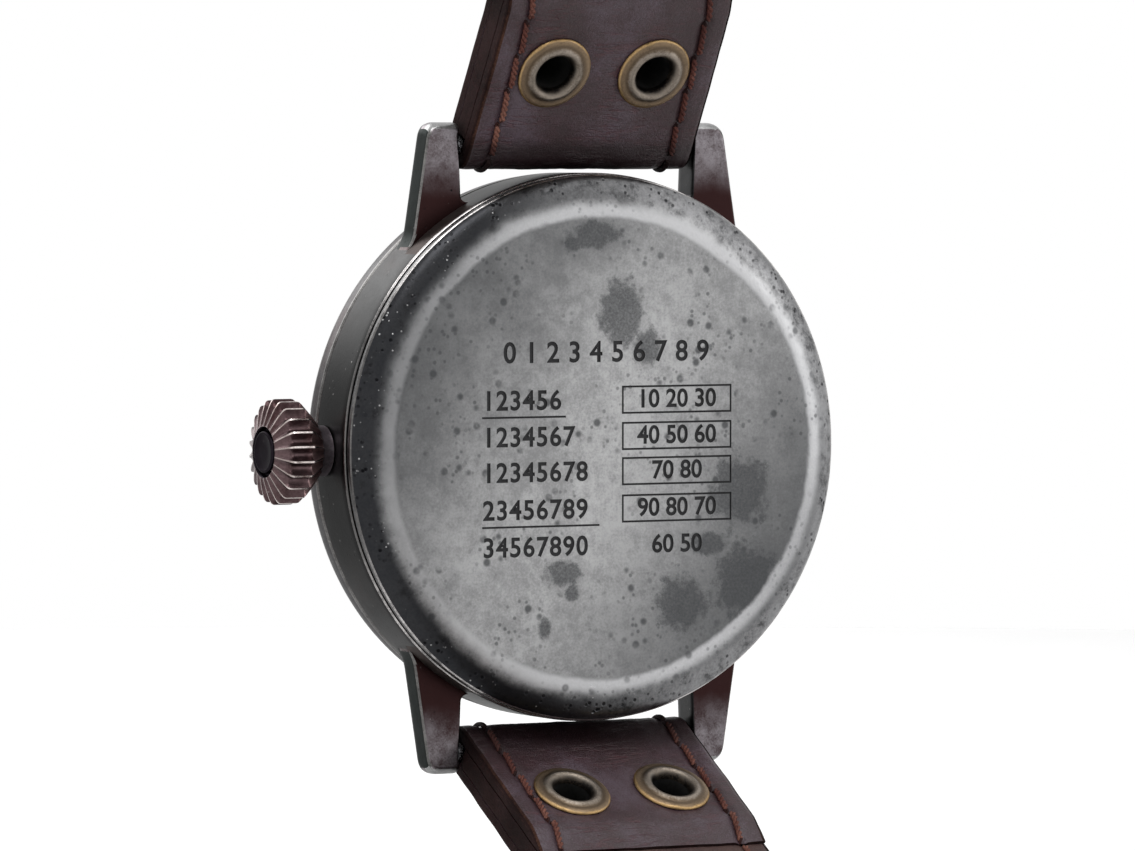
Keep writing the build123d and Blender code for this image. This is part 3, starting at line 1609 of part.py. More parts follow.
def make_rivets(path):
    with BuildPart() as rivets:
        for side in (-1, 1):
            with BuildSketch(path.plane(path.rivet_distance, -fold_radius - rivet_cap_height)):
                with Locations((side * rivet_half_spacing, 0)):
                    Circle(rivet_flange_radius * 0.93)
            extrude(amount=rivet_cap_height)
            with BuildSketch(path.plane(path.rivet_distance, -fold_radius)):
                with Locations((side * rivet_half_spacing, 0)):
                    Circle(rivet_shank_radius - rivet_fit)
            extrude(amount=2 * fold_radius)
            with BuildSketch(path.plane(path.rivet_distance, fold_radius)):
                with Locations((side * rivet_half_spacing, 0)):
                    Circle(rivet_flange_radius)
            extrude(amount=rivet_flange_thickness)
            with BuildSketch(path.plane(path.rivet_distance, fold_radius + rivet_flange_thickness)):
                with Locations((side * rivet_half_spacing, 0)):
                    Circle(rivet_bore_radius)
            extrude(amount=-2 * fold_radius, mode=Mode.SUBTRACT)
        caps = rivets.edges().filter_by(GeomType.CIRCLE)
        caps = caps.filter_by(lambda edge: abs(edge.radius - rivet_flange_radius * 0.93) < rivet_fit)
        outer = [edge for edge in caps if cap_side(path, edge)]
        fillet(outer, radius=rivet_cap_height * 0.8)
        flange = rivets.edges().filter_by(GeomType.CIRCLE)
        flange = flange.filter_by(lambda edge: abs(edge.radius - rivet_flange_radius) < rivet_fit)
        top = [edge for edge in flange if flange_top(path, edge)]
        fillet(top, radius=rivet_flange_thickness * 0.7)
    return rivets.part


def rise_of(path, edge):
    y0, z0 = path.spot(path.rivet_distance, 0)
    end = path.heading(path.rivet_distance)
    centre = edge.arc_center
    return (centre.Y - y0) * math.cos(end) - path.side * (centre.Z - z0) * math.sin(end)


def cap_side(path, edge):
    return rise_of(path, edge) < -fold_radius - rivet_cap_height / 2


def flange_top(path, edge):
    return rise_of(path, edge) > fold_radius + rivet_flange_thickness / 2


def make_keeper(distance, length, gap):
    run = upper.length - distance
    inner_half = strap_lug_width / 2 - 4 * keeper_side_clearance
    low = fold_inner + gap
    high = -fold_radius - keeper_inside_height
    with BuildPart() as keeper:
        height = low - high
        with BuildSketch(upper.section(run - length / 2)):
            with Locations((0, (low + high) / 2)):
                RectangleRounded(2 * inner_half + 2 * keeper_wall, height + 2 * keeper_wall, keeper_wall * 0.9)
                Rectangle(2 * inner_half, height, mode=Mode.SUBTRACT)
        extrude(amount=length)
    return keeper.part


def buckle_frame_plane():
    return upper.plane(upper.length, strap_middle - buckle_thickness / 2)


def make_buckle_frame():
    half = buckle_gap_half + buckle_arm_width
    whole = buckle_back_length + buckle_length + buckle_front_width
    window = buckle_back_length + buckle_length
    with BuildPart() as frame:
        with BuildSketch(buckle_frame_plane()):
            with Locations((0, -buckle_back_length)):
                RectangleRounded(2 * half, whole, buckle_round, align=(Align.CENTER, Align.MIN))
                cut = window + cut_overrun
                with Locations((0, -cut_overrun)):
                    Rectangle(2 * buckle_gap_half, cut, align=(Align.CENTER, Align.MIN), mode=Mode.SUBTRACT)
        extrude(amount=buckle_thickness)
        with BuildSketch(Plane.YZ):
            with Locations(upper.spot(upper.length, strap_middle)):
                Circle(buckle_bar_radius)
        extrude(amount=half, both=True, mode=Mode.SUBTRACT)
    return frame.part


def make_buckle_bar():
    half = buckle_gap_half + buckle_arm_width
    with BuildPart() as bar:
        with BuildSketch(Plane.YZ):
            with Locations(upper.spot(upper.length, strap_middle)):
                Circle(buckle_bar_radius)
        extrude(amount=half, both=True)
    return bar.part


def make_buckle_tongue():
    # The finger rests just over the outer face of the frame
    underside = strap_middle - buckle_thickness / 2 - tongue_clearance
    with BuildPart() as tongue:
        with BuildSketch(Plane.YZ):
            with Locations(upper.spot(upper.length, strap_middle)):
                Circle(tongue_ring_radius)
        extrude(amount=tongue_width / 2, both=True)
        with BuildSketch(upper.plane(upper.length, underside)):
            with Locations((0, -buckle_bar_radius)):
                Rectangle(tongue_width, tongue_length + buckle_bar_radius, align=(Align.CENTER, Align.MIN))
        extrude(amount=-tongue_thickness)
        with BuildSketch(Plane.YZ):
            with Locations(upper.spot(upper.length, strap_middle)):
                Circle(buckle_bar_radius + run_clearance)
        extrude(amount=tongue_width, both=True, mode=Mode.SUBTRACT)
    return tongue.part


pieces = {
    "mid_case": make_mid_case(),
    "spring_bars": make_spring_bars(),
    "bezel": make_bezel(),
    "crystal": make_crystal(),
    "crystal_gasket": make_crystal_gasket(),
    "case_back": make_case_back(),
    "case_back_gasket": make_case_back_gasket(),
    "casing_ring": make_casing_ring(),
    "crown_tube": make_crown_tube(),
    "dial": make_dial(),
    "dial_flange": make_dial_flange(),
    "crown": make_crown(),
    "crown_gasket": make_crown_gasket(),
    "winding_stem": make_winding_stem(),
    "winding_pinion": make_stem_pinion(winding_pinion_start, winding_pinion_length, winding_pinion_radius),
    "sliding_pinion": make_stem_pinion(sliding_pinion_start, sliding_pinion_length, sliding_pinion_radius),
    "setting_lever": make_setting_lever(),
    "yoke": make_yoke(),
    "setting_jumper": make_setting_jumper(),
    "setting_wheel": make_setting_wheel(),
    "minute_wheel": make_minute_wheel(),
    "main_plate": make_main_plate(),
    "barrel_bridge": make_barrel_bridge(),
    "train_bridge": make_train_bridge(),
    "balance_cock": make_balance_cock(),
    "regulator": make_regulator(),
    "pallet_cock": make_pallet_cock(),
    "jewels": make_jewels(),
    "bridge_screws": make_bridge_screws(),
    "barrel_drum": make_barrel_drum(),
    "barrel_cover": make_barrel_cover(),
    "barrel_arbor": make_barrel_arbor(),
    "mainspring": make_mainspring(),
    "ratchet_wheel": make_ratchet_wheel(),
    "crown_wheel": make_crown_wheel(),
    "click": make_click(),
    "click_spring": make_click_spring(),
    "centre_wheel": make_centre_wheel(),
    "third_wheel": make_third_wheel(),
    "fourth_wheel": make_fourth_wheel(),
    "escape_wheel": make_escape_wheel(),
    "pallet_fork": make_pallet_fork(),
    "balance_wheel": make_balance_wheel(),
    "hairspring": make_hairspring(),
    "cannon_pinion": make_cannon_pinion(),
    "hour_wheel": make_hour_wheel(),
    "hour_hand": make_hand(hour_hand_length, hour_hand_width, 0, hour_hand_depth, hour_pipe_radius, hours_angle),
    "minute_hand": make_hand(
        minute_hand_length, minute_hand_width, 0, minute_hand_depth, centre_arbor_bore, minutes_angle
    ),
    "seconds_hand": make_hand(
        seconds_hand_length, seconds_hand_width, seconds_tail_length, seconds_hand_depth, 0, seconds_angle
    ),
    "strap_12_leather": strap_layer(upper, True, True),
    "strap_12_lining": strap_layer(upper, False, True),
    "strap_6_leather": strap_layer(lower, True, False),
    "strap_6_lining": strap_layer(lower, False, False),
    "rivets_12": make_rivets(upper),
    "rivets_6": make_rivets(lower),
    "fixed_keeper": make_keeper(fixed_keeper_distance, fixed_keeper_length, 0),
    "sliding_keeper": make_keeper(sliding_keeper_distance, sliding_keeper_length, keeper_slide_clearance),
    "buckle_frame": make_buckle_frame(),
    "buckle_bar": make_buckle_bar(),
    "buckle_tongue": make_buckle_tongue(),
}

os.makedirs("parts", exist_ok=True)
for name, piece in pieces.items():
    piece.label = name
    export_step(piece, f"parts/{name}.step")
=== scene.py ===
"""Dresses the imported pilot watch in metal, glass, leather and thread, and lights it.

Lengths are in millimetres and become metres where a mesh is made. X runs from the
middle of the case to the crown, Z to 12 o'clock and Y out of the case back. A depth
is measured from the case back towards the dial, so it is -Y.
"""
import json
import math
import random

import bmesh
import bpy
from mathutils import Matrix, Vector, noise


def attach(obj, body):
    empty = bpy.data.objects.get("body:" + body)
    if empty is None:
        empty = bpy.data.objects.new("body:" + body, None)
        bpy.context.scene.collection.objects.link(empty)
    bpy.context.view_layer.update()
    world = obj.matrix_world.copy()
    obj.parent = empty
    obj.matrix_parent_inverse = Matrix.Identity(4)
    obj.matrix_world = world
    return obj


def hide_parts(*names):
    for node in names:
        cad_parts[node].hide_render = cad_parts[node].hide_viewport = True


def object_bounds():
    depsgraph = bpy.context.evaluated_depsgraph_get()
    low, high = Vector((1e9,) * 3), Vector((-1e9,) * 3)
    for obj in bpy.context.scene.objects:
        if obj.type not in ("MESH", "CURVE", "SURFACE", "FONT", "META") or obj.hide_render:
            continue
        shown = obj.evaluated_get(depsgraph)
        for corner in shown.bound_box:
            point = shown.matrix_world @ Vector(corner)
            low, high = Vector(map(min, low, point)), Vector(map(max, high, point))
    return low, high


MM = 0.001
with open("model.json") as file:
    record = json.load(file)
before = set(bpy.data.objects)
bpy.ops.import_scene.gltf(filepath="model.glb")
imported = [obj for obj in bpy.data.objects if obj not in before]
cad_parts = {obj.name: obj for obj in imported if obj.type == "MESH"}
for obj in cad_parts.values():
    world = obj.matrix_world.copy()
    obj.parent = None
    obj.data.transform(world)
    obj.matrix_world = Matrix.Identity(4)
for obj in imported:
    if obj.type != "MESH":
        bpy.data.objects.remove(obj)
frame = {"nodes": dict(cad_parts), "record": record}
nodes = frame["nodes"]
cad_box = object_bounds()


# Shader tools


class Value:
    """An output of a shader node, which adds, multiplies and compares like a number."""

    def __init__(self, tree, socket):
        self.tree = tree
        self.socket = socket

    def maths(self, operation, *numbers):
        return self.tree.node("ShaderNodeMath", {"operation": operation}, dict(enumerate(numbers)))

    def __add__(self, other):
        return self.maths("ADD", self, other)

    __radd__ = __add__

    def __mul__(self, other):
        return self.maths("MULTIPLY", self, other)

    __rmul__ = __mul__

    def __sub__(self, other):
        return self.maths("SUBTRACT", self, other)

    def __rsub__(self, other):
        return self.maths("SUBTRACT", other, self)

    def __abs__(self):
        return self.maths("ABSOLUTE", self)

    def larger(self, other):
        return self.maths("MAXIMUM", self, other)

    def smaller(self, other):
        return self.maths("MINIMUM", self, other)

    def rise(self, low, high, start=0.0, end=1.0):
        """Goes smoothly from start to end as this value goes from low to high."""
        settings = {"interpolation_type": "SMOOTHSTEP"}
        return self.tree.node("ShaderNodeMapRange", settings, {0: self, 1: low, 2: high, 3: start, 4: end})

    def fall(self, low, high):
        """Goes smoothly from 1 to 0 as this value goes from low to high."""
        return self.rise(low, high, 1.0, 0.0)


class ShaderTree:
    """A node tree. Its node() adds any node, from a type, its settings and its inputs."""

    def __init__(self, tree):
        self.tree = tree
        self.tree.nodes.clear()

    def node(self, kind, settings, inputs, output=0):
        made = self.tree.nodes.new(kind)
        for name, setting in settings.items():
            setattr(made, name, setting)
        for key, value in inputs.items():
            self.feed(made.inputs[key], value)
        return Value(self, made.outputs[output]) if made.outputs else made

    def vector(self, operation, *inputs, output=0):
        return self.node("ShaderNodeVectorMath", {"operation": operation}, dict(enumerate(inputs)), output)

    def feed(self, socket, value):
        if isinstance(value, Value):
            self.tree.links.new(value.socket, socket)
        elif isinstance(value, tuple) and len(value) == 3 and len(socket.default_value) == 4:
            socket.default_value = (*value, 1.0)
        else:
            socket.default_value = value


class Finish(ShaderTree):
    """One material, whose patterns are placed in the watch's own millimetres."""

    def __init__(self, name, **shader):
        self.material = bpy.data.materials.new(name)
        self.material.use_nodes = True
        super().__init__(self.material.node_tree)
        self.shader = self.tree.nodes.new("ShaderNodeBsdfPrincipled")
        output = self.tree.nodes.new("ShaderNodeOutputMaterial")
        self.tree.links.new(self.shader.outputs[0], output.inputs["Surface"])
        self.set(**shader)

    def set(self, **inputs):
        """Sets the shader's inputs: base_color=..., coat_weight=... and so on."""
        for name, value in inputs.items():
            title = " ".join(word.upper() if word == "ior" else word.capitalize() for word in name.split("_"))
            self.feed(self.shader.inputs[title], value)

    def place(self, stretch=(1, 1, 1)):
        """Where a point is, in millimetres, stretched along each axis."""
        at = self.node("ShaderNodeTexCoord", {}, {}, output="Object")
        return self.vector("MULTIPLY", at, tuple(share / MM for share in stretch))

    def along(self, axis):
        """One coordinate of the point, 0, 1 or 2, in millimetres."""
        return self.node("ShaderNodeSeparateXYZ", {}, {0: self.place()}, output=axis)

    def away(self, middle, size):
        """Distance from a place, as a share of a size along each axis; size 0 leaves an axis out."""
        shares = tuple(1 / length if length else 0 for length in size)
        apart = self.vector("SUBTRACT", self.place(), middle)
        return self.vector("LENGTH", self.vector("MULTIPLY", apart, shares), output="Value")

    def clouds(self, size, detail=4.0, rough=0.6, stretch=(1, 1, 1), shift=0.0, bend=0.0):
        """Noise from 0 to 1 whose patches are about size millimetres across."""
        inputs = {"Vector": self.place(stretch), "W": shift, "Scale": 1 / size}
        inputs.update({"Detail": detail, "Roughness": rough, "Distortion": bend})
        return self.node("ShaderNodeTexNoise", {"noise_dimensions": "4D"}, inputs)

    def dots(self, size, shift=0.0, feature="F1", stretch=(1, 1, 1)):
        """Distance to the nearest of scattered points about size millimetres apart."""
        moved = self.vector("ADD", self.place(stretch), (shift, shift, shift))
        return self.node("ShaderNodeTexVoronoi", {"feature": feature}, {"Vector": moved, "Scale": 1 / size})

    def tint(self, share, first, second):
        """Colour that goes from first to second as share goes from 0 to 1."""
        settings = {"data_type": "RGBA", "clamp_factor": True}
        return self.node("ShaderNodeMix", settings, {0: share, 6: first, 7: second}, output=2)

    def relief(self, height, depth):
        """Bumps of that depth in millimetres where height goes from 0 to 1."""
        inputs = {"Strength": 1.0, "Distance": depth * MM, "Height": height}
        self.feed(self.shader.inputs["Normal"], self.node("ShaderNodeBump", {}, inputs))


# Finishes


def grey(level):
    return (level, level, level)


# Radius of the bright ring on the case back: rubbed metal with a painted highlight
rubbed_highlight_ring_radius = 18.6

# Stains on the case back: across and up from its middle, half width, half height
case_back_stains = [
    (0.5, 16.2, 2.7, 1.3), (2.6, 15.6, 1.0, 0.8), (-1.7, 10.4, 1.9, 2.5), (-3.9, 7.6, 1.2, 1.5),
    (3.4, -9.6, 1.8, 1.2), (2.6, -11.0, 0.8, 0.8), (-7.0, -12.0, 2.2, 2.4), (4.9, -13.7, 0.6, 0.8),
    (-12.2, -3.4, 2.8, 3.4), (-12.6, -10.4, 3.6, 3.2), (-9.6, -7.6, 1.8, 1.0),
    (13.0, 13.0, 0.9, 0.7),
]


def make_back_steel():
    """Satin steel with a painted highlight across its middle, stains, a rubbed ring with a painted highlight,
    and a pitted rim with a painted reflection, dark beside the crown.
    """
    steel = Finish("back_steel", metallic=1.0)
    across, up = steel.along(0), steel.along(2)
    large = steel.clouds(7.0, detail=5, rough=0.6, shift=2.3)
    small = steel.clouds(1.1, detail=5, rough=0.7, shift=5.1)
    fine = steel.clouds(0.2, detail=2, rough=0.6, shift=8.4)

    # A painted highlight: a broad bright band runs over the middle from lower left to upper right
    from_highlight_band = abs(across * 0.85 + up * 0.53 + (large - 0.5) * 11.0)
    reach = steel.away((0, 0, 0), (1, 0, 1))
    glow = from_highlight_band.fall(0.0, 22.0) * reach.rise(5.0, 18.0, 1.0, 0.8)
    colour = steel.tint(glow, (0.10, 0.102, 0.105), (0.46, 0.46, 0.462))
    grain = (large * 0.3 + small * 0.45 + fine * 0.25).rise(0.38, 0.62)
    colour = steel.tint(grain * 0.5, colour, (0.07, 0.071, 0.074))

    # Stains with ragged edges, and clusters of round spots between them
    stain = 0.0
    for middle_x, middle_z, half_x, half_z in case_back_stains:
        apart = steel.away((middle_x, 0, middle_z), (half_x, 0, half_z))
        mask = (apart + (small - 0.5) * 2.4 + (large - 0.5) * 1.2).fall(0.6, 1.15)
        stain = mask.larger(stain)
    cluster = steel.clouds(4.0, detail=4, shift=21.0)
    spot = steel.dots(1.5, shift=3.0).fall(0.12, 0.28) * cluster.rise(0.42, 0.56)
    dot = steel.dots(0.62, shift=14.0).fall(0.14, 0.34) * cluster.rise(0.46, 0.6)
    spot = (spot * 0.8).larger(dot * 0.6)
    stain = (stain * (0.5 + fine * 0.5)).larger(spot)
    colour = steel.tint(stain, colour, (0.055, 0.057, 0.06))

    # The ring: rubbed metal with a painted highlight, weaker beside the crown
    uneven = reach + (small - 0.5) * 0.5 + (large - 0.5) * 0.9 + across.rise(-19.0, -9.0, -0.5, 0.0)
    ring = uneven.rise(rubbed_highlight_ring_radius - 1.05, rubbed_highlight_ring_radius - 0.6)
    ring = ring * uneven.fall(rubbed_highlight_ring_radius - 0.35, rubbed_highlight_ring_radius + 0.65)
    ring = ring * across.rise(2.0, 17.0, 0.95, 0.3) * across.rise(-19.0, -8.0, 0.6, 1.0)
    colour = steel.tint(ring * (1 - spot * 0.8) * (0.7 + fine * 0.5), colour, (0.52, 0.52, 0.53))

    # The bevel has a painted reflection, nearly black beside the crown and pale on the other side, and it is
    # pitted all round; the pits are painted darker beside the crown too
    painted_shade_by_crown = (across - up * 0.12 + (large - 0.5) * 6.0).rise(-8.0, 9.0)
    rim = uneven.rise(rubbed_highlight_ring_radius, rubbed_highlight_ring_radius + 1.0)
    rim_colour = steel.tint(painted_shade_by_crown, (0.27, 0.27, 0.275), (0.026, 0.027, 0.03))
    rim_colour = steel.tint(grain * 0.6, rim_colour, (0.045, 0.045, 0.047))
    rim_colour = steel.tint(small.rise(0.5, 0.7) * 0.7, rim_colour, (0.012, 0.012, 0.013))
    colour = steel.tint(rim, colour, rim_colour)
    pitted = steel.clouds(2.6, detail=4, shift=27.0)
    pits = steel.dots(0.55, shift=6.0).fall(0.16, 0.34) * pitted.rise(0.44, 0.58)
    pits = pits * uneven.rise(18.0, 20.2)
    colour = steel.tint(pits, colour, steel.tint(painted_shade_by_crown, (0.02, 0.02, 0.022), (0.006, 0.006, 0.007)))
    # Painted glints: small pale specks in the rim's pits, stronger beside the crown
    specks = steel.dots(0.5, shift=9.0).fall(0.08, 0.19) * pitted.rise(0.48, 0.6) * rim
    colour = steel.tint(specks * painted_shade_by_crown.rise(0.4, 0.9, 0.15, 0.8), colour, grey(0.5))

    steel.set(base_color=colour, roughness=0.27 + small * 0.12 + stain * 0.14 + pits * 0.25 - ring * 0.04)
    steel.relief(fine * 0.4 + small * 0.3 - pits * 1.6 - stain * 0.3 + specks * 0.8, 0.02)
    return steel


def aged_steel(name, light, dark, specks=0.4, warmth=0.0, gloss=0.34, shade=None, edge=1.0):
    """Worn steel with a patina in clouds, small pale and dark specks, and reddish places.

    shade gives a share from 0 to 1 that also pulls the colour towards the dark one, and edge
    how much the metal brightens at a flat angle.
    """
    steel = Finish(name, metallic=1.0, specular_tint=grey(edge))
    large = steel.clouds(6.0, detail=5, rough=0.62, shift=2.3, bend=0.3)
    small = steel.clouds(0.9, detail=5, rough=0.7, shift=5.1)
    fine = steel.clouds(0.15, detail=2, rough=0.7, shift=8.4)
    tone = (large * 0.45 + small * 0.35 + fine * 0.2).rise(0.36, 0.64)
    colour = steel.tint(tone, dark, light)
    brown = steel.clouds(5.0, detail=4, shift=31.0).rise(0.4, 0.68) * warmth
    colour = steel.tint(brown, colour, (0.05, 0.022, 0.019))
    if shade:
        colour = steel.tint(shade(steel, large), colour, dark)
    patch = steel.clouds(2.4, detail=3, shift=27.0).rise(0.5, 0.64)
    pit = steel.dots(0.7, shift=6.0).fall(0.07, 0.18) * patch * specks
    pale = steel.dots(0.8, shift=12.0).fall(0.05, 0.13) * patch * specks
    colour = steel.tint(pit, colour, (0.008, 0.008, 0.009))
    colour = steel.tint(pale, colour, (0.5, 0.48, 0.47))
    steel.set(base_color=colour, roughness=small * 0.16 + large * 0.12 + (gloss - 0.14) + pit * 0.3)
    steel.relief(small * 0.3 + fine * 0.35 - pit * 1.2 + pale * 0.6, 0.018)
    return steel


def leather(name, deep, worn, bloom_and_sheen, gloss=0.45, crease=1.0, pores=0.3, shine=0.5):
    """Waxed leather with fine cross creases, pores, a pale bloom with painted sheen in patches, and painted
    shade near the fold.
    """
    hide = Finish(name, specular_ior_level=shine)
    patches = hide.clouds(6.0, detail=4, rough=0.6, shift=7.0)
    medium = hide.clouds(0.8, detail=4, rough=0.65, shift=4.0)
    fine = hide.clouds(0.13, detail=2, rough=0.7, shift=9.0)
    wrinkles = hide.clouds(0.75, detail=4, rough=0.6, shift=17.0, stretch=(0.13, 1, 1), bend=0.35)
    lines = abs(wrinkles - 0.5).fall(0.0, 0.035) * hide.clouds(3.5, detail=3, shift=25.0).rise(0.4, 0.62)
    pore = hide.dots(pores, shift=1.0, feature="DISTANCE_TO_EDGE").fall(0.0, 0.12)
    colour = hide.tint((patches * 0.45 + medium * 0.3 + fine * 0.25).rise(0.36, 0.64), deep, worn)
    # A pale bloom with painted sheen, in patches
    smears = hide.clouds(2.2, detail=5, rough=0.7, shift=15.0)
    bloom_and_sheen_share = (patches * 0.5 + fine * 0.3 + smears * 0.2).rise(0.46, 0.62)
    colour = hide.tint(bloom_and_sheen_share * 0.75, colour, bloom_and_sheen)
    colour = hide.tint(lines * 0.5 * crease, colour, (0.075, 0.018, 0.024))
    colour = hide.tint(pore * 0.14, colour, (0.008, 0.004, 0.005))
    # Painted shade: the leather gets darker towards the fold
    painted_shade_at_fold = (abs(hide.along(2)) + (medium - 0.5) * 0.8).rise(22.6, 23.9, 0.85, 0.0)
    colour = hide.tint(painted_shade_at_fold, colour, tuple(share * 0.55 for share in deep))
    hide.set(base_color=colour, roughness=medium * 0.16 + fine * 0.12 + (gloss - 0.13))
    hide.relief(medium * 0.5 + fine * 0.45 - pore * 0.12 - lines * 0.35 * crease, 0.09)
    return hide


def plated(name, light, dark, size=2.0, gloss=0.3, metallic=1.0, depth=0.01):
    """Plain metal or another even material with faint clouds and fine grain."""
    metal = Finish(name, metallic=metallic)
    clouds = metal.clouds(size, detail=4, shift=1.5)
    fine = metal.clouds(size / 12, detail=2, shift=3.5)
    share = clouds * 0.7 + fine * 0.3
    colour = metal.tint(share.rise(0.35, 0.65), dark, light)
    metal.set(base_color=colour, roughness=clouds * 0.14 + fine * 0.1 + (gloss - 0.1))
    metal.relief(fine, depth)
    return metal


def clear_glass():
    """The crystal, with a faint haze in patches."""
    glass = Finish("crystal_glass", base_color=grey(1), transmission_weight=1.0, ior=1.5)
    haze = glass.clouds(3.0, detail=5, shift=6.0)
    glass.set(roughness=haze.rise(0.5, 0.8, 0.0, 0.01))
    return glass


def towards_crown(steel, large):
    """Painted shade: the band gets darker from the lugs to the crown, and beside the case back."""
    beside_crown = (abs(steel.along(2)) + (large - 0.5) * 5.0).rise(6.0, 17.5, 1.0, 0.15)
    return beside_crown.larger((steel.along(1) + (large - 0.5) * 1.6).rise(-4.6, -1.6) * 0.6)


def beside_crown(steel, large):
    """Painted shade: a polished line is dull beside the crown."""
    near = (abs(steel.along(2)) + (large - 0.5) * 4.0).rise(6.0, 13.0, 0.85, 0.0)
    return near * steel.along(0).rise(10.0, 18.0)


def on_outer_slope(steel, large):
    """Painted shade: a crown ridge is duller on its outer slope."""
    return steel.along(0).rise(25.3, 25.7, 0.0, 0.75)


def towards_case(steel, large):
    """A lug gets darker from its tip to its foot."""
    return (abs(steel.along(2)) + (large - 0.5) * 3.5).fall(19.3, 23.6)


back_steel = make_back_steel()
band_steel = aged_steel("band_steel", grey(0.09), grey(0.015), 0.3, 0.2, shade=towards_crown, edge=0.65)
groove_steel = aged_steel("groove_steel", grey(0.10), (0.03, 0.028, 0.028), 0.2)
bezel_steel = aged_steel("bezel_steel", (0.11, 0.11, 0.112), (0.04, 0.038, 0.04), 0.3, 0.3, edge=0.65)
lug_steel = aged_steel("lug_steel", (0.30, 0.28, 0.30), (0.030, 0.014, 0.014), 0.9, 0.2, shade=towards_case)
# Painted shade: the lugs' outer sides get a dark copy of the lug steel
lug_side_painted_shade = aged_steel("lug_side_painted_shade", (0.026, 0.030, 0.029), (0.010, 0.012, 0.011), 0.3, edge=0.6)
foot_colours = (0.10, 0.085, 0.08), (0.035, 0.028, 0.026)
lug_foot_steel = aged_steel("lug_foot_steel", *foot_colours, 0.3, gloss=0.5, edge=0.6)
# Painted shade: the lugs' faces towards the strap are nearly black
lug_inner_painted_shade = aged_steel("lug_inner_painted_shade", (0.03, 0.03, 0.031), grey(0.010), 0.2)
# Painted light: the lug tips get a light copy of the lug steel, as lit from above
lug_tip_painted_light = aged_steel("lug_tip_painted_light", grey(0.42), grey(0.2), 0.2)
# Worn edges in a light tone; along the lugs' arrises this is also a painted highlight
worn_edge_and_highlight = aged_steel("worn_edge_and_highlight", (0.20, 0.195, 0.19), (0.04, 0.038, 0.038), 0.2)
line_colours = (0.74, 0.71, 0.70), (0.06, 0.058, 0.058)
polished_line = aged_steel("polished_line", *line_colours, 0.1, gloss=0.22, shade=beside_crown)
crown_steel = aged_steel("crown_steel", (0.13, 0.088, 0.092), (0.030, 0.016, 0.017), 0.3, 0.35)
ridge_colours = (0.90, 0.82, 0.79), (0.22, 0.17, 0.16)
crown_ridge = aged_steel("crown_ridge", *ridge_colours, 0.1, gloss=0.22, shade=on_outer_slope)
crown_cap_steel = aged_steel("crown_cap_steel", (0.017, 0.014, 0.018), (0.008, 0.006, 0.008), 0.1, edge=0.55)
# Painted light: the crown's neck gets a much lighter copy of the crown steel
crown_neck_painted_light = aged_steel("crown_neck_painted_light", (0.42, 0.36, 0.40), (0.20, 0.16, 0.18), 0.1)
# Painted light: the crown's back slope gets a lighter copy of the crown steel
crown_back_painted_light = aged_steel("crown_back_painted_light", (0.62, 0.42, 0.42), (0.24, 0.14, 0.14), 0.3, 0.35)
buckle_steel = aged_steel("buckle_steel", (0.30, 0.295, 0.30), (0.10, 0.095, 0.10), 0.5, 0.2)
aged_brass = aged_steel("aged_brass", (0.30, 0.225, 0.145), (0.13, 0.098, 0.068), 0.1, gloss=0.4)
engraving = plated("engraving", (0.028, 0.028, 0.03), (0.012, 0.012, 0.013), gloss=0.7, metallic=0.3)
# Painted shade: the insides of holes and bores are nearly black
bore_painted_shade = plated("bore_painted_shade", (0.022, 0.021, 0.020), grey(0.005), gloss=0.6, metallic=0.6)
lume_colours = (0.72, 0.62, 0.42), (0.55, 0.46, 0.29)
aged_lume = plated("aged_lume", *lume_colours, size=0.7, gloss=0.8, metallic=0.0, depth=0.03)

# Colours of each leather and yarn: in its creases, worn, and its pale bloom with painted sheen
strap_colours = (0.020, 0.0065, 0.0085), (0.042, 0.015, 0.020), (0.085, 0.062, 0.082)
lining_colours = (0.030, 0.012, 0.011), (0.060, 0.027, 0.023), (0.09, 0.05, 0.04)
edge_colours = (0.007, 0.0035, 0.0035), (0.020, 0.0095, 0.0085), (0.036, 0.019, 0.019)
fibre_colours = (0.012, 0.005, 0.005), (0.045, 0.020, 0.013), (0.11, 0.052, 0.036)
yarn_colours = (0.055, 0.013, 0.010), (0.15, 0.045, 0.032), (0.30, 0.14, 0.10)
# Painted shade: near-black thread where the stitches dip into their holes and round the fold
thread_shade_colours = (0.012, 0.004, 0.004), (0.035, 0.011, 0.010), (0.05, 0.018, 0.014)
strap_leather = leather("strap_leather", *strap_colours)
lining_leather = leather("lining_leather", *lining_colours, gloss=0.6, crease=0.4)
strap_edge = leather("strap_edge", *edge_colours, gloss=0.75, crease=0.2, pores=0.2, shine=0.04)
strap_fibre = leather("strap_fibre", *fibre_colours, gloss=0.75, crease=0.0, pores=0.2, shine=0.1)
thread_yarn = leather("thread_yarn", *yarn_colours, gloss=0.75, crease=0.0, pores=0.12, shine=0.3)
thread_painted_shade = leather("thread_painted_shade", *thread_shade_colours, gloss=0.8, crease=0.0, pores=0.15, shine=0.2)

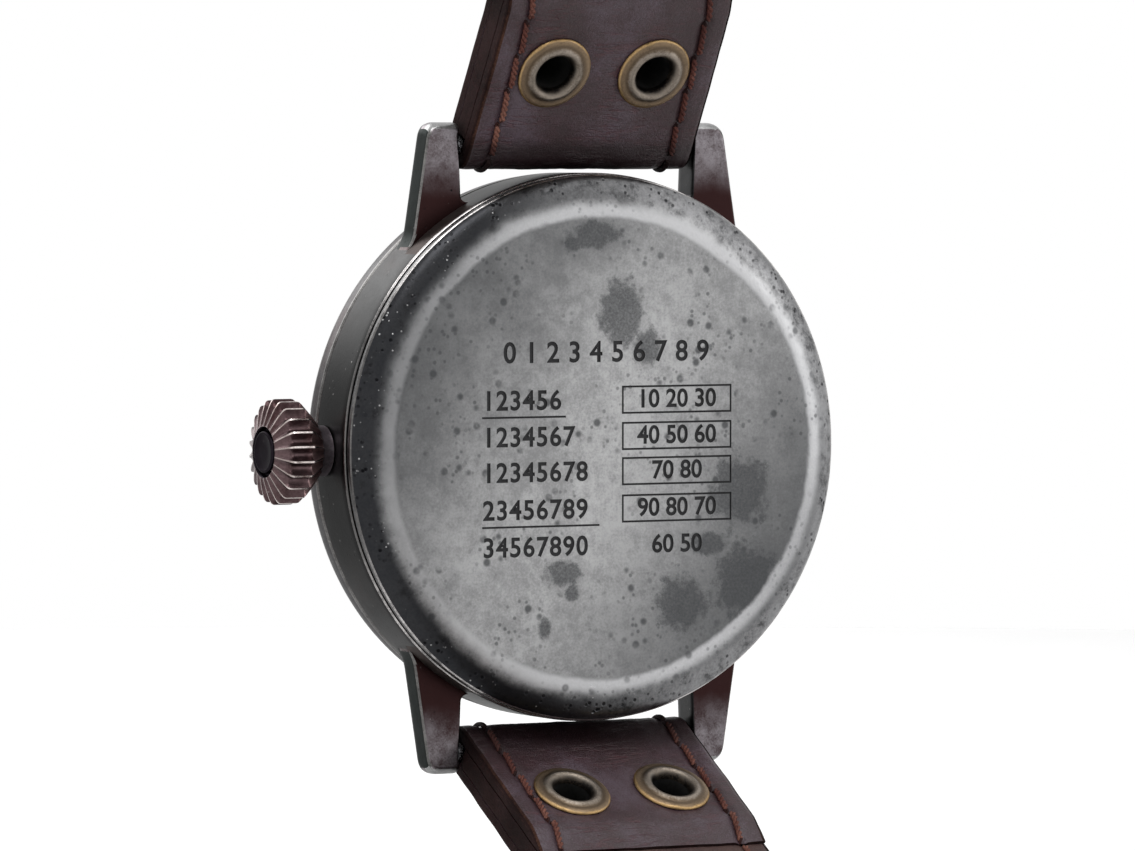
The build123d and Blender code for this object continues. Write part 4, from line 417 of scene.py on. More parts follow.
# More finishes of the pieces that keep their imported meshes: light and dark colour, and the rest
plain_finishes = {
    "bright_steel": ((0.62, 0.62, 0.63), (0.42, 0.42, 0.44), {"gloss": 0.25}),
    "movement_steel": ((0.60, 0.60, 0.62), (0.45, 0.45, 0.47), {"gloss": 0.22}),
    "plate_nickel": ((0.66, 0.63, 0.56), (0.5, 0.47, 0.41), {"gloss": 0.35}),
    "wheel_brass": ((0.75, 0.52, 0.24), (0.55, 0.36, 0.15), {"gloss": 0.3}),
    "ruby": ((0.45, 0.01, 0.06), (0.28, 0.005, 0.03), {"gloss": 0.15, "metallic": 0.0}),
    "seal_rubber": (grey(0.02), grey(0.01), {"gloss": 0.6, "metallic": 0.0}),
}
dial_options = {"gloss": 0.65, "metallic": 0.0, "depth": 0.002}
slot_finishes = {
    "case_steel": band_steel,
    "crystal_glass": clear_glass(),
    "dial_black": plated("dial_black", (0.014, 0.014, 0.015), (0.008, 0.008, 0.009), **dial_options),
    "hand_paint": plated("hand_steel", (0.46, 0.46, 0.48), (0.30, 0.30, 0.32), gloss=0.4),
    "outer_leather": strap_leather,
    "lining_leather": lining_leather,
    "rivet_brass": aged_brass,
}
for name, (light, dark, options) in plain_finishes.items():
    slot_finishes[name] = plated(name, light, dark, **options)
slot_of = {part["node"]: part["material_slot"] for part in frame["record"]["subparts"]}
for name, node in nodes.items():
    node.data.materials.clear()
    node.data.materials.append(slot_finishes[slot_of[name]].material)


# Mesh tools


def make_piece(name, points, faces, finishes, body, replaced=(), picks=None, crease=35, tidy=True):
    """A mesh piece of the watch, from points in millimetres. picks gives each face's finish."""
    mesh = bpy.data.meshes.new(name)
    mesh.from_pydata([Vector(point) * MM for point in points], [], faces)
    for finish in finishes:
        mesh.materials.append(finish.material)
    if picks:
        mesh.polygons.foreach_set("material_index", picks)
    if tidy:
        form = bmesh.new()
        form.from_mesh(mesh)
        bmesh.ops.remove_doubles(form, verts=form.verts, dist=1e-7)
        bmesh.ops.dissolve_degenerate(form, edges=form.edges, dist=1e-8)
        bmesh.ops.recalc_face_normals(form, faces=form.faces)
        form.to_mesh(mesh)
        form.free()
    mesh.shade_smooth()
    mesh.set_sharp_from_angle(angle=math.radians(crease))
    piece = bpy.data.objects.new(name, mesh)
    bpy.context.collection.objects.link(piece)
    if body:
        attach(piece, body)
    if replaced:
        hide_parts(*replaced)
    return piece


def combine(piece, other, operation, crease=35):
    """Cuts the other mesh out of the piece (DIFFERENCE) or joins it on (UNION), with its finishes."""
    change = piece.modifiers.new("change", "BOOLEAN")
    change.operation = operation
    change.solver = "MANIFOLD"
    change.material_mode = "TRANSFER"
    change.object = other
    apply_modifiers(piece)
    piece.data.set_sharp_from_angle(angle=math.radians(crease))
    bpy.data.objects.remove(other)


def cut(piece, parts, finish, crease=35):
    """Cuts closed forms out of a piece, whose cut faces get that finish."""
    points, faces = joined(parts)
    combine(piece, make_piece("cutter", points, faces, [finish], None), "DIFFERENCE", crease)


def apply_modifiers(piece):
    """Makes what the piece's modifiers give into its own mesh."""
    bpy.context.view_layer.update()
    seen = piece.evaluated_get(bpy.context.evaluated_depsgraph_get())
    result = bpy.data.meshes.new_from_object(seen)
    piece.modifiers.clear()
    piece.data = result


def repaint(piece, finishes, choose):
    """Gives each face the finish whose number choose(centre in millimetres, normal) returns."""
    mesh = piece.data
    mesh.materials.clear()
    for finish in finishes:
        mesh.materials.append(finish.material)
    for face in mesh.polygons:
        face.material_index = choose(face.center / MM, face.normal)


def ring_faces(rings, count, closed=True, loop=True):
    """Faces between rings of count points; closed joins the last ring to the first, loop each ring's ends."""
    faces = []
    for ring in range(rings if closed else rings - 1):
        here, there = ring * count, (ring + 1) % rings * count
        for step in range(count if loop else count - 1):
            after = (step + 1) % count
            faces.append((here + step, here + after, there + after, there + step))
    return faces


def turned(profile, segments=256):
    """Points and faces of an outline of (radius, depth) turned about the Y axis.

    An outline that starts and ends on the axis is closed by it.
    """
    points = []
    for step in range(segments):
        angle = math.tau * step / segments
        points += [(radius * math.cos(angle), -depth, radius * math.sin(angle)) for radius, depth in profile]
    return points, ring_faces(segments, len(profile), loop=profile[0][0] > 0)


def rounded(corners, steps=5):
    """An outline with each (across, up, round) corner drawn as a short curve."""
    outline = []
    for index, (across, up, size) in enumerate(corners):
        corner = Vector((across, up))
        if size == 0:
            outline.append(tuple(corner))
            continue
        before = Vector(corners[index - 1][:2]) - corner
        after = Vector(corners[(index + 1) % len(corners)][:2]) - corner
        start = corner + before.normalized() * min(size, before.length * 0.49)
        end = corner + after.normalized() * min(size, after.length * 0.49)
        for step in range(steps + 1):
            share = step / steps
            point = start * (1 - share) ** 2 + corner * 2 * share * (1 - share) + end * share**2
            outline.append(tuple(point))
    return outline


def slab(outline, low, high, place):
    """Points and faces of a flat outline between two heights; place turns (x, y, height) into a point."""
    count = len(outline)
    points = [place(x, y, low) for x, y in outline] + [place(x, y, high) for x, y in outline]
    faces = [tuple(range(count)), tuple(range(2 * count - 1, count - 1, -1))]
    faces += [(step, (step + 1) % count, count + (step + 1) % count, count + step) for step in range(count)]
    return points, faces


def joined(parts):
    """One list of points and one of faces from several."""
    points, faces = [], []
    for part_points, part_faces in parts:
        base = len(points)
        points += part_points
        faces += [tuple(base + corner for corner in face) for face in part_faces]
    return points, faces


def tube(line, sizes, sides):
    """A tube round a line of points with a radius at each, closed at both ends."""
    points = []
    normal = Vector((0.31, 0.17, 0.94))
    for index, spot in enumerate(line):
        ahead = line[min(index + 1, len(line) - 1)] - line[max(index - 1, 0)]
        ahead.normalize()
        normal = (normal - ahead * normal.dot(ahead)).normalized()
        other = ahead.cross(normal)
        for side in range(sides):
            angle = math.tau * side / sides
            outward = normal * math.cos(angle) + other * math.sin(angle)
            points.append(tuple(spot + outward * sizes[index]))
    faces = ring_faces(len(line), sides, closed=False)
    faces.append(tuple(range(sides - 1, -1, -1)))
    faces.append(tuple(range((len(line) - 1) * sides, len(line) * sides)))
    return points, faces


def numbers(text, height, place, low, high, align="CENTER", weight=0.0, spacing=1.0):
    """Points and faces of plain digits as solid slabs at the origin of place."""
    curve = bpy.data.curves.new("digits", "FONT")
    curve.body = text
    curve.size = height / 0.72
    curve.align_x, curve.align_y = align, "CENTER"
    curve.extrude = (high - low) / 2
    curve.offset = weight
    curve.space_character = spacing
    curve.resolution_u = 4
    shape = bpy.data.objects.new("digits", curve)
    bpy.context.collection.objects.link(shape)
    bpy.context.view_layer.update()
    mesh = bpy.data.meshes.new_from_object(shape.evaluated_get(bpy.context.evaluated_depsgraph_get()))
    form = bmesh.new()
    form.from_mesh(mesh)
    bmesh.ops.remove_doubles(form, verts=form.verts, dist=1e-4)
    middle = (low + high) / 2
    points = [place(v.co.x, v.co.y, v.co.z + middle) for v in form.verts]
    faces = [tuple(v.index for v in face.verts) for face in form.faces]
    form.free()
    bpy.data.objects.remove(shape)
    bpy.data.curves.remove(curve)
    return points, faces


# Case back

band_back_depth = 1.75
spigot_radius = 18.12
engraving_depth = 0.09
case_back_profile = [
    (0.0, 0.0), (9.0, 0.0), (16.9, 0.0), (17.6, 0.012), (18.2, 0.05), (18.7, 0.12), (19.2, 0.225),
    (19.7, 0.36), (20.1, 0.50), (20.4, 0.64), (20.62, 0.79), (20.76, 0.94), (20.82, 1.04),
    (20.87, 1.07), (20.91, 1.11), (20.93, 1.17), (20.93, 1.50), (20.90, 1.56), (20.80, 1.60),
    (20.55, 1.62), (20.55, band_back_depth), (spigot_radius, band_back_depth),
    (spigot_radius, band_back_depth + 0.4), (spigot_radius - 0.6, band_back_depth + 0.4),
    (spigot_radius - 0.6, 1.1), (0.0, 1.1),
]


# Rows of the engraving: height, the number on the left, those on the right, and the end of the line
# under the left one; all but the last have a box on the right
engraved_rows = [
    (3.67, "123456", "10 20 30", -3.1),
    (0.89, "1234567", "40 50 60", None),
    (-1.81, "12345678", "70 80", None),
    (-4.67, "23456789", "90 80 70", -0.2),
    (-7.5, "34567890", "60 50", None),
]
label_left = -10.25
box_left, box_right, box_half_height = 1.75, 11.35, 1.08


def engraved(across, up, height):
    """A point on the case back, read from outside: across runs away from the crown."""
    return (-across, height, up)


def bar(left, right, bottom, top):
    """A flat stroke of the engraving."""
    outline = [(left, bottom), (right, bottom), (right, top), (left, top)]
    return slab(outline, -engraving_depth, engraving_depth, engraved)


def box_outline(left, right, bottom, top, stroke):
    """A hollow box, as one closed frame."""
    points = []
    for height in (-engraving_depth, engraving_depth):
        for inset in (0, stroke):
            corners = [(left + inset, bottom + inset), (right - inset, bottom + inset)]
            corners += [(right - inset, top - inset), (left + inset, top - inset)]
            points += [engraved(x, y, height) for x, y in corners]
    faces = []
    for step in range(4):
        after = (step + 1) % 4
        for first, second in ((0, 4), (4, 12), (12, 8), (8, 0)):
            faces.append((first + step, first + after, second + after, second + step))
    return points, faces


def make_case_back():
    points, faces = turned(case_back_profile)
    corner, wall = case_back_profile.index((20.82, 1.04)), case_back_profile.index((20.93, 1.17))
    steps = [face[0] % len(case_back_profile) for face in faces]
    picks = [2 if corner <= step < wall else 3 if wall <= step < wall + 4 else 0 for step in steps]
    finishes = [back_steel, engraving, polished_line, groove_steel]
    back = make_piece("dressed_case_back", points, faces, finishes, "case", ["case_back"], picks, crease=50)
    strokes = []

    def digits(text, across, up, height, align="CENTER", spacing=1.0):
        place = lambda x, y, z: engraved(x + across, y + up, z)
        strokes.append(numbers(text, height, place, -engraving_depth, engraving_depth, align, 0.045, spacing))

    digits("0 1 2 3 4 5 6 7 8 9", 0.45, 7.3, 1.6, spacing=1.06)
    for row in engraved_rows:
        up, label, boxed, line_end = row
        digits(label, label_left, up, 1.5, "LEFT", 1.1)
        digits(boxed, (box_left + box_right) / 2, up, 1.4)
        if row != engraved_rows[-1]:
            strokes.append(box_outline(box_left, box_right, up - box_half_height, up + box_half_height, 0.15))
        if line_end:
            strokes.append(bar(label_left - 0.05, line_end, up - 1.28, up - 1.13))
    cut(back, strokes, engraving, crease=50)


make_case_back()


# Case band, lugs and bezel

case_radius = 21.05
cavity_radius = 18.2
band_front_depth = 6.75
lug_half_gap = 10.05
lug_reach = 24.9
lug_back_depth, lug_front_depth = 3.9, 6.6
spring_bar_depth, spring_bar_height = 5.1, 23.15
spring_hole_radius = 0.45
crown_depth = 5.3
crown_hole_radius = 1.2


def arc(middle, radius, start, end, steps):
    """Points of a flat arc between two angles in degrees."""
    turns = [math.radians(start + (end - start) * step / steps) for step in range(steps + 1)]
    return [(middle[0] + radius * math.cos(turn), middle[1] + radius * math.sin(turn)) for turn in turns]


# Rings of a lug from its wrist face to its dial side: depth, and how far the outer side, the
# tip and the strap side are moved in there
lug_rings = [
    (lug_back_depth, 0.26, 0.62, 0.24),
    (3.93, 0.14, 0.48, 0.13),
    (3.99, 0.06, 0.36, 0.05),
    (4.10, 0.01, 0.24, 0.01),
    (4.30, 0.0, 0.12, 0.0),
    (4.55, 0.0, 0.04, 0.0),
    (4.85, 0.0, 0.0, 0.0),
    (5.45, 0.0, 0.0, 0.0),
    (5.75, 0.04, 0.04, 0.0),
    (6.00, 0.13, 0.12, 0.0),
    (6.22, 0.28, 0.26, 0.03),
    (6.40, 0.48, 0.45, 0.08),
    (6.52, 0.70, 0.66, 0.15),
    (6.58, 0.88, 0.84, 0.22),
    (lug_front_depth, 1.05, 1.0, 0.3),
]


def lug_outline(outer_in, tip_in, strap_in):
    """Plan of the lug beside the crown at 12 o'clock, with a hollow curve at each side of its foot."""
    skin = case_radius - 0.02
    inner, outer = 0.55, 3.5
    side, tip = lug_half_gap + strap_in, lug_reach - tip_in
    middle = (side - inner, math.sqrt((skin + inner) ** 2 - (side - inner) ** 2))
    inward = math.degrees(math.atan2(-middle[1], -middle[0]))
    outline = [(middle[0] * 0.9, middle[1] * 0.9 - 0.3)] + arc(middle, inner, inward, 0, 8)
    slant = Vector((-3.85, 24.9)).normalized()
    away = Vector((slant.y, -slant.x))
    offset = away.x * 16.6 - outer_in
    corner, below = [((offset - away.y * height) / away.x, height) for height in (tip, 17.0)]
    outline += rounded([(side, tip, 0.45), (*corner, 1.0), (*below, 0)], 7)[:-1]
    along = math.sqrt((skin + outer) ** 2 - (offset + outer) ** 2)
    middle = away * (offset + outer) + slant * along
    outward = math.degrees(math.atan2(-away.y, -away.x))
    inward = math.degrees(math.atan2(-middle.y, -middle.x))
    outline += arc(middle, outer, outward + 360, inward + 360, 8)
    return outline + [tuple(middle * (19.4 / middle.length))]


def circle(middle, radius, sides):
    """Points of a flat circle."""
    return arc(middle, radius, 0, 360 * (1 - 1 / sides), sides - 1)


def across_bar(radius, depth, height, left, right):
    """Points and faces of a round bar along X."""
    return slab(circle((depth, height), radius, 40), left, right, lambda x, y, z: (z, -x, y))


def make_case_band():
    """The case's middle: a band with polished edges, four lugs grown out of it, and their holes."""
    profile = [
        (cavity_radius, band_back_depth), (20.86, band_back_depth), (20.95, 1.77), (21.02, 1.83),
        (case_radius, 1.92), (case_radius, 2.6), (case_radius, 3.3), (case_radius, 3.9),
        (case_radius, 5.2), (case_radius, 6.48), (21.01, 6.56), (20.90, 6.62), (20.80, 6.66),
        (20.80, band_front_depth), (cavity_radius, band_front_depth),
    ]
    points, faces = turned(profile)
    band = make_piece("dressed_mid_case", points, faces, [band_steel], "case", ["mid_case"])
    for side in (-1, 1):
        for end in (-1, 1):
            points, faces = [], []
            for depth, *moved in lug_rings:
                points += [(side * x, -depth, end * y) for x, y in lug_outline(*moved)]
            count = len(points) // len(lug_rings)
            faces = ring_faces(len(lug_rings), count, closed=False)
            faces += [tuple(range(count)), tuple(range(len(points) - 1, len(points) - count - 1, -1))]
            combine(band, make_piece("lug", points, faces, [lug_steel], None), "UNION")
    holes = []
    for end in (-1, 1):
        for side in (-1, 1):
            reach = sorted((side * (lug_half_gap - 0.5), side * (lug_half_gap + 1.5)))
            holes.append(across_bar(spring_hole_radius, spring_bar_depth, end * spring_bar_height, *reach))
    holes.append(across_bar(crown_hole_radius, crown_depth, 0, 17.0, 22.0))
    cut(band, holes, bore_painted_shade)

    # Numbers of the finishes, in their order below
    wall, line, wrist_face, side_face, tip, arris, strap_face, foot = range(8)
    finishes = [band_steel, polished_line, lug_steel, lug_side_painted_shade]
    finishes += [lug_tip_painted_light, worn_edge_and_highlight, lug_inner_painted_shade, lug_foot_steel]

    def choose(centre, normal):
        depth = -centre.y
        reach = math.hypot(centre.x, centre.z)
        if reach < case_radius + 0.02:
            beside_lug = 9.7 < abs(centre.x) < 14.9 and abs(centre.z) > 14.8
            if reach > 20.4 and (1.76 < depth < 1.93 or 6.47 < depth < 6.68):
                return line
            return foot if beside_lug and reach > 20.9 and 1.93 < depth < 4.0 else wall
        outward = normal.x * centre.x / abs(centre.x)
        if outward < -0.5:
            return strap_face
        if depth < 4.85 and abs(normal.z) > 0.4 and abs(centre.z) > lug_reach - 0.7:
            return tip
        if depth < 4.15 and outward > 0.3 and normal.y > 0.2:
            return arris
        return side_face if outward > 0.85 or depth > 5.5 else wrist_face

    repaint(band, finishes, choose)
    band.modifiers.new("even_shading", "WEIGHTED_NORMAL").keep_sharp = True


def make_bezel():
    """The bezel: a polished line beside the joint, a plain wall, and a slope up to the crystal."""
    profile = [
        (17.1, 6.35), (18.55, 6.35), (18.55, band_front_depth), (20.72, band_front_depth),
        (20.74, 6.80), (20.92, 6.84), (21.03, 6.93), (21.05, 7.05), (20.97, 8.10), (20.90, 8.36),
        (20.72, 8.64), (19.25, 10.38), (19.10, 10.50), (18.90, 10.57), (18.60, 10.60),
        (17.55, 10.60), (17.34, 10.56), (17.22, 10.45), (17.2, 10.30), (17.2, 9.6), (16.3, 9.6),
        (16.3, 9.3), (17.1, 9.3),
    ]
    points, faces = turned(profile)
    # Steps of the outline that lie on an edge
    worn_steps = (5, 6, 8, 9, 11, 12, 13)
    picks = [1 if face[0] % len(profile) in worn_steps else 0 for face in faces]
    make_piece("dressed_bezel", points, faces, [bezel_steel, worn_edge_and_highlight], "case", ["bezel"], picks, crease=38)


make_case_band()
make_bezel()


# Crown

# Distance from the middle of the case, radius on a ridge, and how deep the flutes are there
crown_profile = [
    (21.12, 1.93, 0.0), (21.90, 1.95, 0.0), (22.00, 2.02, 0.0), (22.12, 2.35, 0.5),
    (22.45, 2.74, 1.0), (23.05, 3.36, 1.0), (23.50, 3.80, 1.0), (23.70, 3.96, 1.0),
    (23.88, 4.00, 1.0), (25.20, 4.00, 1.0), (25.31, 3.98, 1.0), (25.44, 3.88, 1.0),
    (25.59, 3.62, 1.0), (25.84, 2.95, 1.0), (26.00, 2.42, 0.9), (26.09, 2.10, 0.5),
    (26.10, 1.95, 0.0), (26.02, 1.87, 0.0), (25.72, 1.80, 0.0), (25.72, 1.64, 0.0),
    (26.06, 1.60, 0.0), (26.15, 1.54, 0.0), (26.18, 1.45, 0.0), (26.16, 1.36, 0.0),
    (26.12, 1.27, 0.0), (26.10, 0.60, 0.0), (26.10, 0.0, 0.0),
]


def make_crown():
    """An onion crown: hollow flutes between narrow polished ridges, and a cap in a sunk ring."""
    flutes, depth_share, ridge_share = 22, 0.15, 0.125
    steps = [0.0, ridge_share] + [ridge_share + (1 - ridge_share) * k / 12 for k in range(1, 12)]
    bore = [(24.1, 0.0, 0.0), (24.1, 1.5, 0.0), (21.12, 1.5, 0.0)]
    outline = bore + crown_profile
    points, picks = [], []
    for flute in range(flutes):
        for number, share in enumerate(steps):
            angle = math.tau * (flute + share) / flutes
            hollow = max(0.0, (share - ridge_share) / (1 - ridge_share))
            valley = (1 - (2 * hollow - 1) ** 2) ** 0.8
            for x, radius, depth in outline:
                size = radius * (1 - depth_share * depth * valley)
                points.append((x, -crown_depth + size * math.sin(angle), size * math.cos(angle)))
    count = len(outline)
    # Numbers of the finishes, and where along the crown its back ends and its cap starts
    flute_wall, ridge, cap, neck, back = range(5)
    back_end, cap_start = 23.7, 25.5
    faces = ring_faces(flutes * len(steps), count, loop=False)
    for face in faces:
        number = face[0] // count % len(steps)
        x, radius, depth = outline[face[0] % count]
        smooth = cap if x > cap_start else neck
        hollow = back if x < back_end else flute_wall
        picks.append(ridge if number == 0 and depth >= 0.5 else smooth if depth == 0 else hollow)
    finishes = [crown_steel, crown_ridge, crown_cap_steel, crown_neck_painted_light, crown_back_painted_light]
    make_piece("dressed_crown", points, faces, finishes, "crown_set", ["crown"], picks, crease=42)


make_crown()


# Strap


class StrapLine:
    """The line of one strap half from its spring bar: straight, round the wrist, straight."""

    def __init__(self, side, angle, straight, turn, end_straight, length, rivet_run):
        self.side = side
        self.angle = math.radians(angle)
        self.straight = straight
        self.turn = math.radians(turn)
        self.arc = length - straight - end_straight
        self.radius = self.arc / self.turn
        self.length = length
        self.rivet_run = rivet_run

    def heading(self, run):
        return self.angle + self.turn * min(max((run - self.straight) / self.arc, 0), 1)

    def spot(self, across, run, rise):
        """The point at a run along the strap and a rise towards the wrist."""
        first = min(run, self.straight)
        end = self.heading(run)
        last = max(run - self.straight - self.arc, 0)
        y = first * math.sin(self.angle) + self.radius * (math.cos(self.angle) - math.cos(end))
        z = first * math.cos(self.angle) + self.radius * (math.sin(end) - math.sin(self.angle))
        y += last * math.sin(end) + rise * math.cos(end)
        z += last * math.cos(end) - rise * math.sin(end)
        return Vector((across, y - spring_bar_depth, self.side * (z + spring_bar_height)))

    def near(self, across, run, along, rise):
        """A point measured from a run along the strap, in that run's own flat frame."""
        ahead = self.heading(run)
        onward = Vector((0, math.sin(ahead), self.side * math.cos(ahead)))
        return self.spot(across, run, rise) + onward * along

    def half_width(self, run):
        """Half the strap's width, with the round tip of the half that has the holes."""
        share = min(max(run / self.length, 0), 1)
        half = lug_half_width + (end_half_width - lug_half_width) * share
        if self.side < 0 and run > self.length - end_half_width:
            reach = (run - self.length + end_half_width) / end_half_width
            half *= math.sqrt(max(1 - min(reach, 0.995) ** 2, 0.0))
        return half


lug_half_width = 9.8
end_half_width = 9.0
fold_outer = 1.85
fold_inner = 0.82
flap_end = 15.0
flap_full = 12.8
stitch_pitch = 3.0
stitch_inset = 2.0
stitch_sink = 0.14
rivet_half_gap = 4.3
rivet_flange_radius = 3.0
rivet_hole_radius = 2.12

# Reach of the soft dents: the stitch groove, a stitch hole across and along, and round a rivet
groove_reach = 0.42
hole_across, hole_along = 0.3, 0.35
rivet_dent_reach = 0.35

# Holes for the tongue, counted from the round tip, and its slot, measured along from the buckle's bar
hole_count = 6
first_hole, hole_pitch, hole_radius = 14, 6, 1.1
slot_half_width, slot_start, slot_end = 1.27, -4.4, 3.7

# Before the buckle's bar the leather gets thinner over the wrap, and its turned end goes back this far
buckle_wrap = 3.0
turned_end = 1.64

# Heading at the spring bar and bend of each half, in degrees, with a straight part at either end
strap_12 = StrapLine(1, angle=31, straight=15.0, turn=47, end_straight=22.0, length=75.0, rivet_run=7.5)
strap_6 = StrapLine(-1, angle=59.5, straight=15.0, turn=46, end_straight=37.0, length=115.0, rivet_run=8.6)


def spaced(start, end, pitch):
    count = max(2, round(abs(end - start) / pitch) + 1)
    return [start + (end - start) * step / (count - 1) for step in range(count)]


def flap_top(run):
    """Rise of the folded flap's face, which thins to nothing at its end."""
    thin = min(max((run - flap_full) / (flap_end - flap_full), 0), 1)
    return fold_outer + (fold_inner + 0.25 - fold_outer) * thin


def leather_stations(line):
    """Pairs of (run, rise) on the flesh side and the grain side, from the flap's end round the bar."""
    stations = [((run, fold_inner), (run, flap_top(run))) for run in spaced(flap_end, 0, 0.4)]
    bend_steps, wrap_steps = 20, 13
    for step in range(1, bend_steps):
        angle = math.pi * step / bend_steps
        inner = (-fold_inner * math.sin(angle), fold_inner * math.cos(angle))
        outer = (-fold_outer * math.sin(angle), fold_outer * math.cos(angle))
        stations.append((inner, outer))
    wrap = buckle_wrap if line.side > 0 else 0.0
    runs = spaced(0, 14, 0.5)[:-1] + spaced(14, line.length - wrap, 0.8)
    stations += [((run, -fold_inner), (run, -fold_outer)) for run in runs]
    if line.side > 0:
        # Round the buckle's bar and back under itself
        middle, inner, outer = -0.515, 0.79, 1.335
        for run in spaced(line.length - wrap + 0.5, line.length, 0.5):
            share = (run - line.length + wrap) / wrap
            stations.append(((run, -fold_inner + (middle - inner + fold_inner) * share), (run, -fold_outer)))
        for step in range(1, wrap_steps + 1):
            angle = math.pi * step / wrap_steps
            turn = (math.sin(angle), -math.cos(angle))
            low = (line.length + inner * turn[0], middle + inner * turn[1])
            stations.append((low, (line.length + outer * turn[0], middle + outer * turn[1])))
        end = line.length - turned_end
        stations.append(((end, middle + inner), (end, fold_inner)))
    return stations


def lining_stations(line):
    end = line.length - turned_end if line.side > 0 else line.length
    runs = spaced(1.0, 14, 0.5)[:-1] + spaced(14, end, 0.8)
    return [((run, -fold_inner), (run, fold_inner)) for run in runs]


def cross_section(steps, edge_steps, back_steps):
    """Loop round a strip as (share of the width, share of the thickness, is it an edge)."""
    loop = [(-1 + 2 * step / steps, 1.0, 0) for step in range(steps + 1)]
    loop += [(1.0, 1 - step / edge_steps, 1) for step in range(1, edge_steps)]
    loop += [(1 - 2 * step / back_steps, 0.0, 0) for step in range(back_steps + 1)]
    loop += [(-1.0, step / edge_steps, 1) for step in range(1, edge_steps)]
    return loop


def dent(*shares):
    """Depth of a soft dent, 1 in its middle; each share is a distance over the dent's own reach."""
    return math.exp(-sum(share**2 for share in shares))


def strip(line, stations, top_round, low_round, groove, seed, picks):
    """Points and faces of a leather strip with soft edges, a stitch groove and a little waviness."""
    steps, edge_steps, back_steps = 76, 7, 20
    loop = cross_section(steps, edge_steps, back_steps)
    points = []
    for low, high in stations:
        run = (low[0] + high[0]) / 2
        half = line.half_width(run)
        below = line.spot(0, *low)
        above = line.spot(0, *high)
        lift = above - below
        thickness = lift.length
        for share, height, on_edge in loop:
            across = share * half
            up = height * thickness
            is_top = height > 0.5
            inset = thickness - up if is_top else up
            edge = min(top_round if is_top else low_round, thickness * 0.45, half * 0.5)
            reach = half - abs(across)
            if not on_edge and reach < edge:
                turn = 1 - math.sqrt(max(1 - (1 - reach / edge) ** 2, 0))
                up += turn * edge * (-1 if is_top else 1)
            if on_edge and inset < edge:
                turn = 1 - math.sqrt(max(1 - (1 - inset / edge) ** 2, 0))
                across -= math.copysign(edge * turn, share) * 0.6
            if height == 1:
                from_line = abs(abs(across) - (half - stitch_inset))
                up -= groove * dent(from_line / groove_reach)
                phase = (run / stitch_pitch) % 1
                at_hole = min(phase, 1 - phase) * stitch_pitch
                up -= groove * 1.2 * dent(from_line / hole_across, at_hole / hole_along)
                from_rivet = math.hypot(abs(across) - rivet_half_gap, run - line.rivet_run)
                up -= 0.10 * dent((from_rivet - rivet_flange_radius) / rivet_dent_reach)
            spot = Vector((across, run * 0.35, up + seed))
            up += height * (0.05 * noise.noise(spot * 0.6) + 0.02 * noise.noise(spot * 2.3))
            across += 0.05 * noise.noise(Vector((run * 0.45, 0, line.side)))
            point = below + lift * (up / thickness)
            points.append((across, point.y, point.z))
    count = len(loop)
    faces = ring_faces(len(stations), count, closed=False)
    edge_end = steps + edge_steps
    for face in faces:
        place = face[0] % count
        on_edge = steps <= place < edge_end or place >= edge_end + back_steps
        arris = place in (0, steps - 1, steps, count - 1)
        picks.append(2 if arris else 1 if on_edge else 0)
    faces.append(tuple(range(count)))
    faces.append(tuple(range((len(stations) - 1) * count, len(stations) * count)))
    picks += [1, 1]
    return points, faces


def strap_cutters(line):
    """Forms of the holes for the rivets, and for the tongue or its slot."""

    def punch(run, across, radius, sides=48):
        place = lambda x, y, z: tuple(line.near(across + x, run, y, z))
        return slab(circle((0, 0), radius, sides), -3, 3, place)

    parts = [punch(line.rivet_run, side * rivet_half_gap, rivet_hole_radius) for side in (-1, 1)]
    if line.side < 0:
        for hole in range(hole_count):
            parts.append(punch(line.length - first_hole - hole_pitch * hole, 0, hole_radius, 32))
    else:
        outline = [(-slot_half_width, slot_start), (slot_half_width, slot_start)]
        outline += [(slot_half_width, slot_end), (-slot_half_width, slot_end)]
        parts.append(slab(outline, -3, 3, lambda x, y, z: tuple(line.near(x, line.length, y, z))))
    return parts


def make_strap_layers(line, body):
    for layer, stations, top_round, low_round, groove, finish in (
        ("leather", leather_stations(line), 0.42, 0.05, 0.16, strap_leather),
        ("lining", lining_stations(line), 0.08, 0.05, 0.1, lining_leather),
    ):
        picks = []
        seed = 3.1 * line.side + len(layer)
        points, faces = strip(line, stations, top_round, low_round, groove, seed, picks)
        name = f"{body}_{layer}"
        finishes = [finish, strap_edge, strap_fibre if layer == "leather" else strap_edge]
        piece = make_piece(f"dressed_{name}", points, faces, finishes, body, [name], picks, crease=60)
        cut(piece, strap_cutters(line), strap_edge, crease=60)


def stitch(draw, shape, length, picks):
    """One visible stitch: two plies twisted together, dipping into a hole at each end."""
    steps, sides = 22, 7
    ply_offset, ply_radius, arch_height, dip = 0.13, 0.125, 0.18, 0.3
    parts = []
    twist = 3.1 + 0.4 * draw.random()
    start = draw.random() * math.tau
    for ply in (0, 1):
        line = []
        sizes = []
        for step in range(steps + 1):
            share = step / steps
            arch = 1 - abs(2 * share - 1) ** 8
            angle = start + math.pi * ply + math.tau * twist * share
            out = ply_offset * math.cos(angle) + arch_height * arch - dip * (1 - arch)
            line.append(shape(share * length, ply_offset * math.sin(angle), out))
            sizes.append(ply_radius * (0.7 + 0.3 * arch))
        parts.append(tube(line, sizes, sides))
        # The ends that dip into the holes get the thread's painted shade
        shaded_ends = (0, 1, steps - 2, steps - 1)
        picks += [1 if face // sides in shaded_ends else 0 for face in range(steps * sides)] + [1, 1]
    return parts


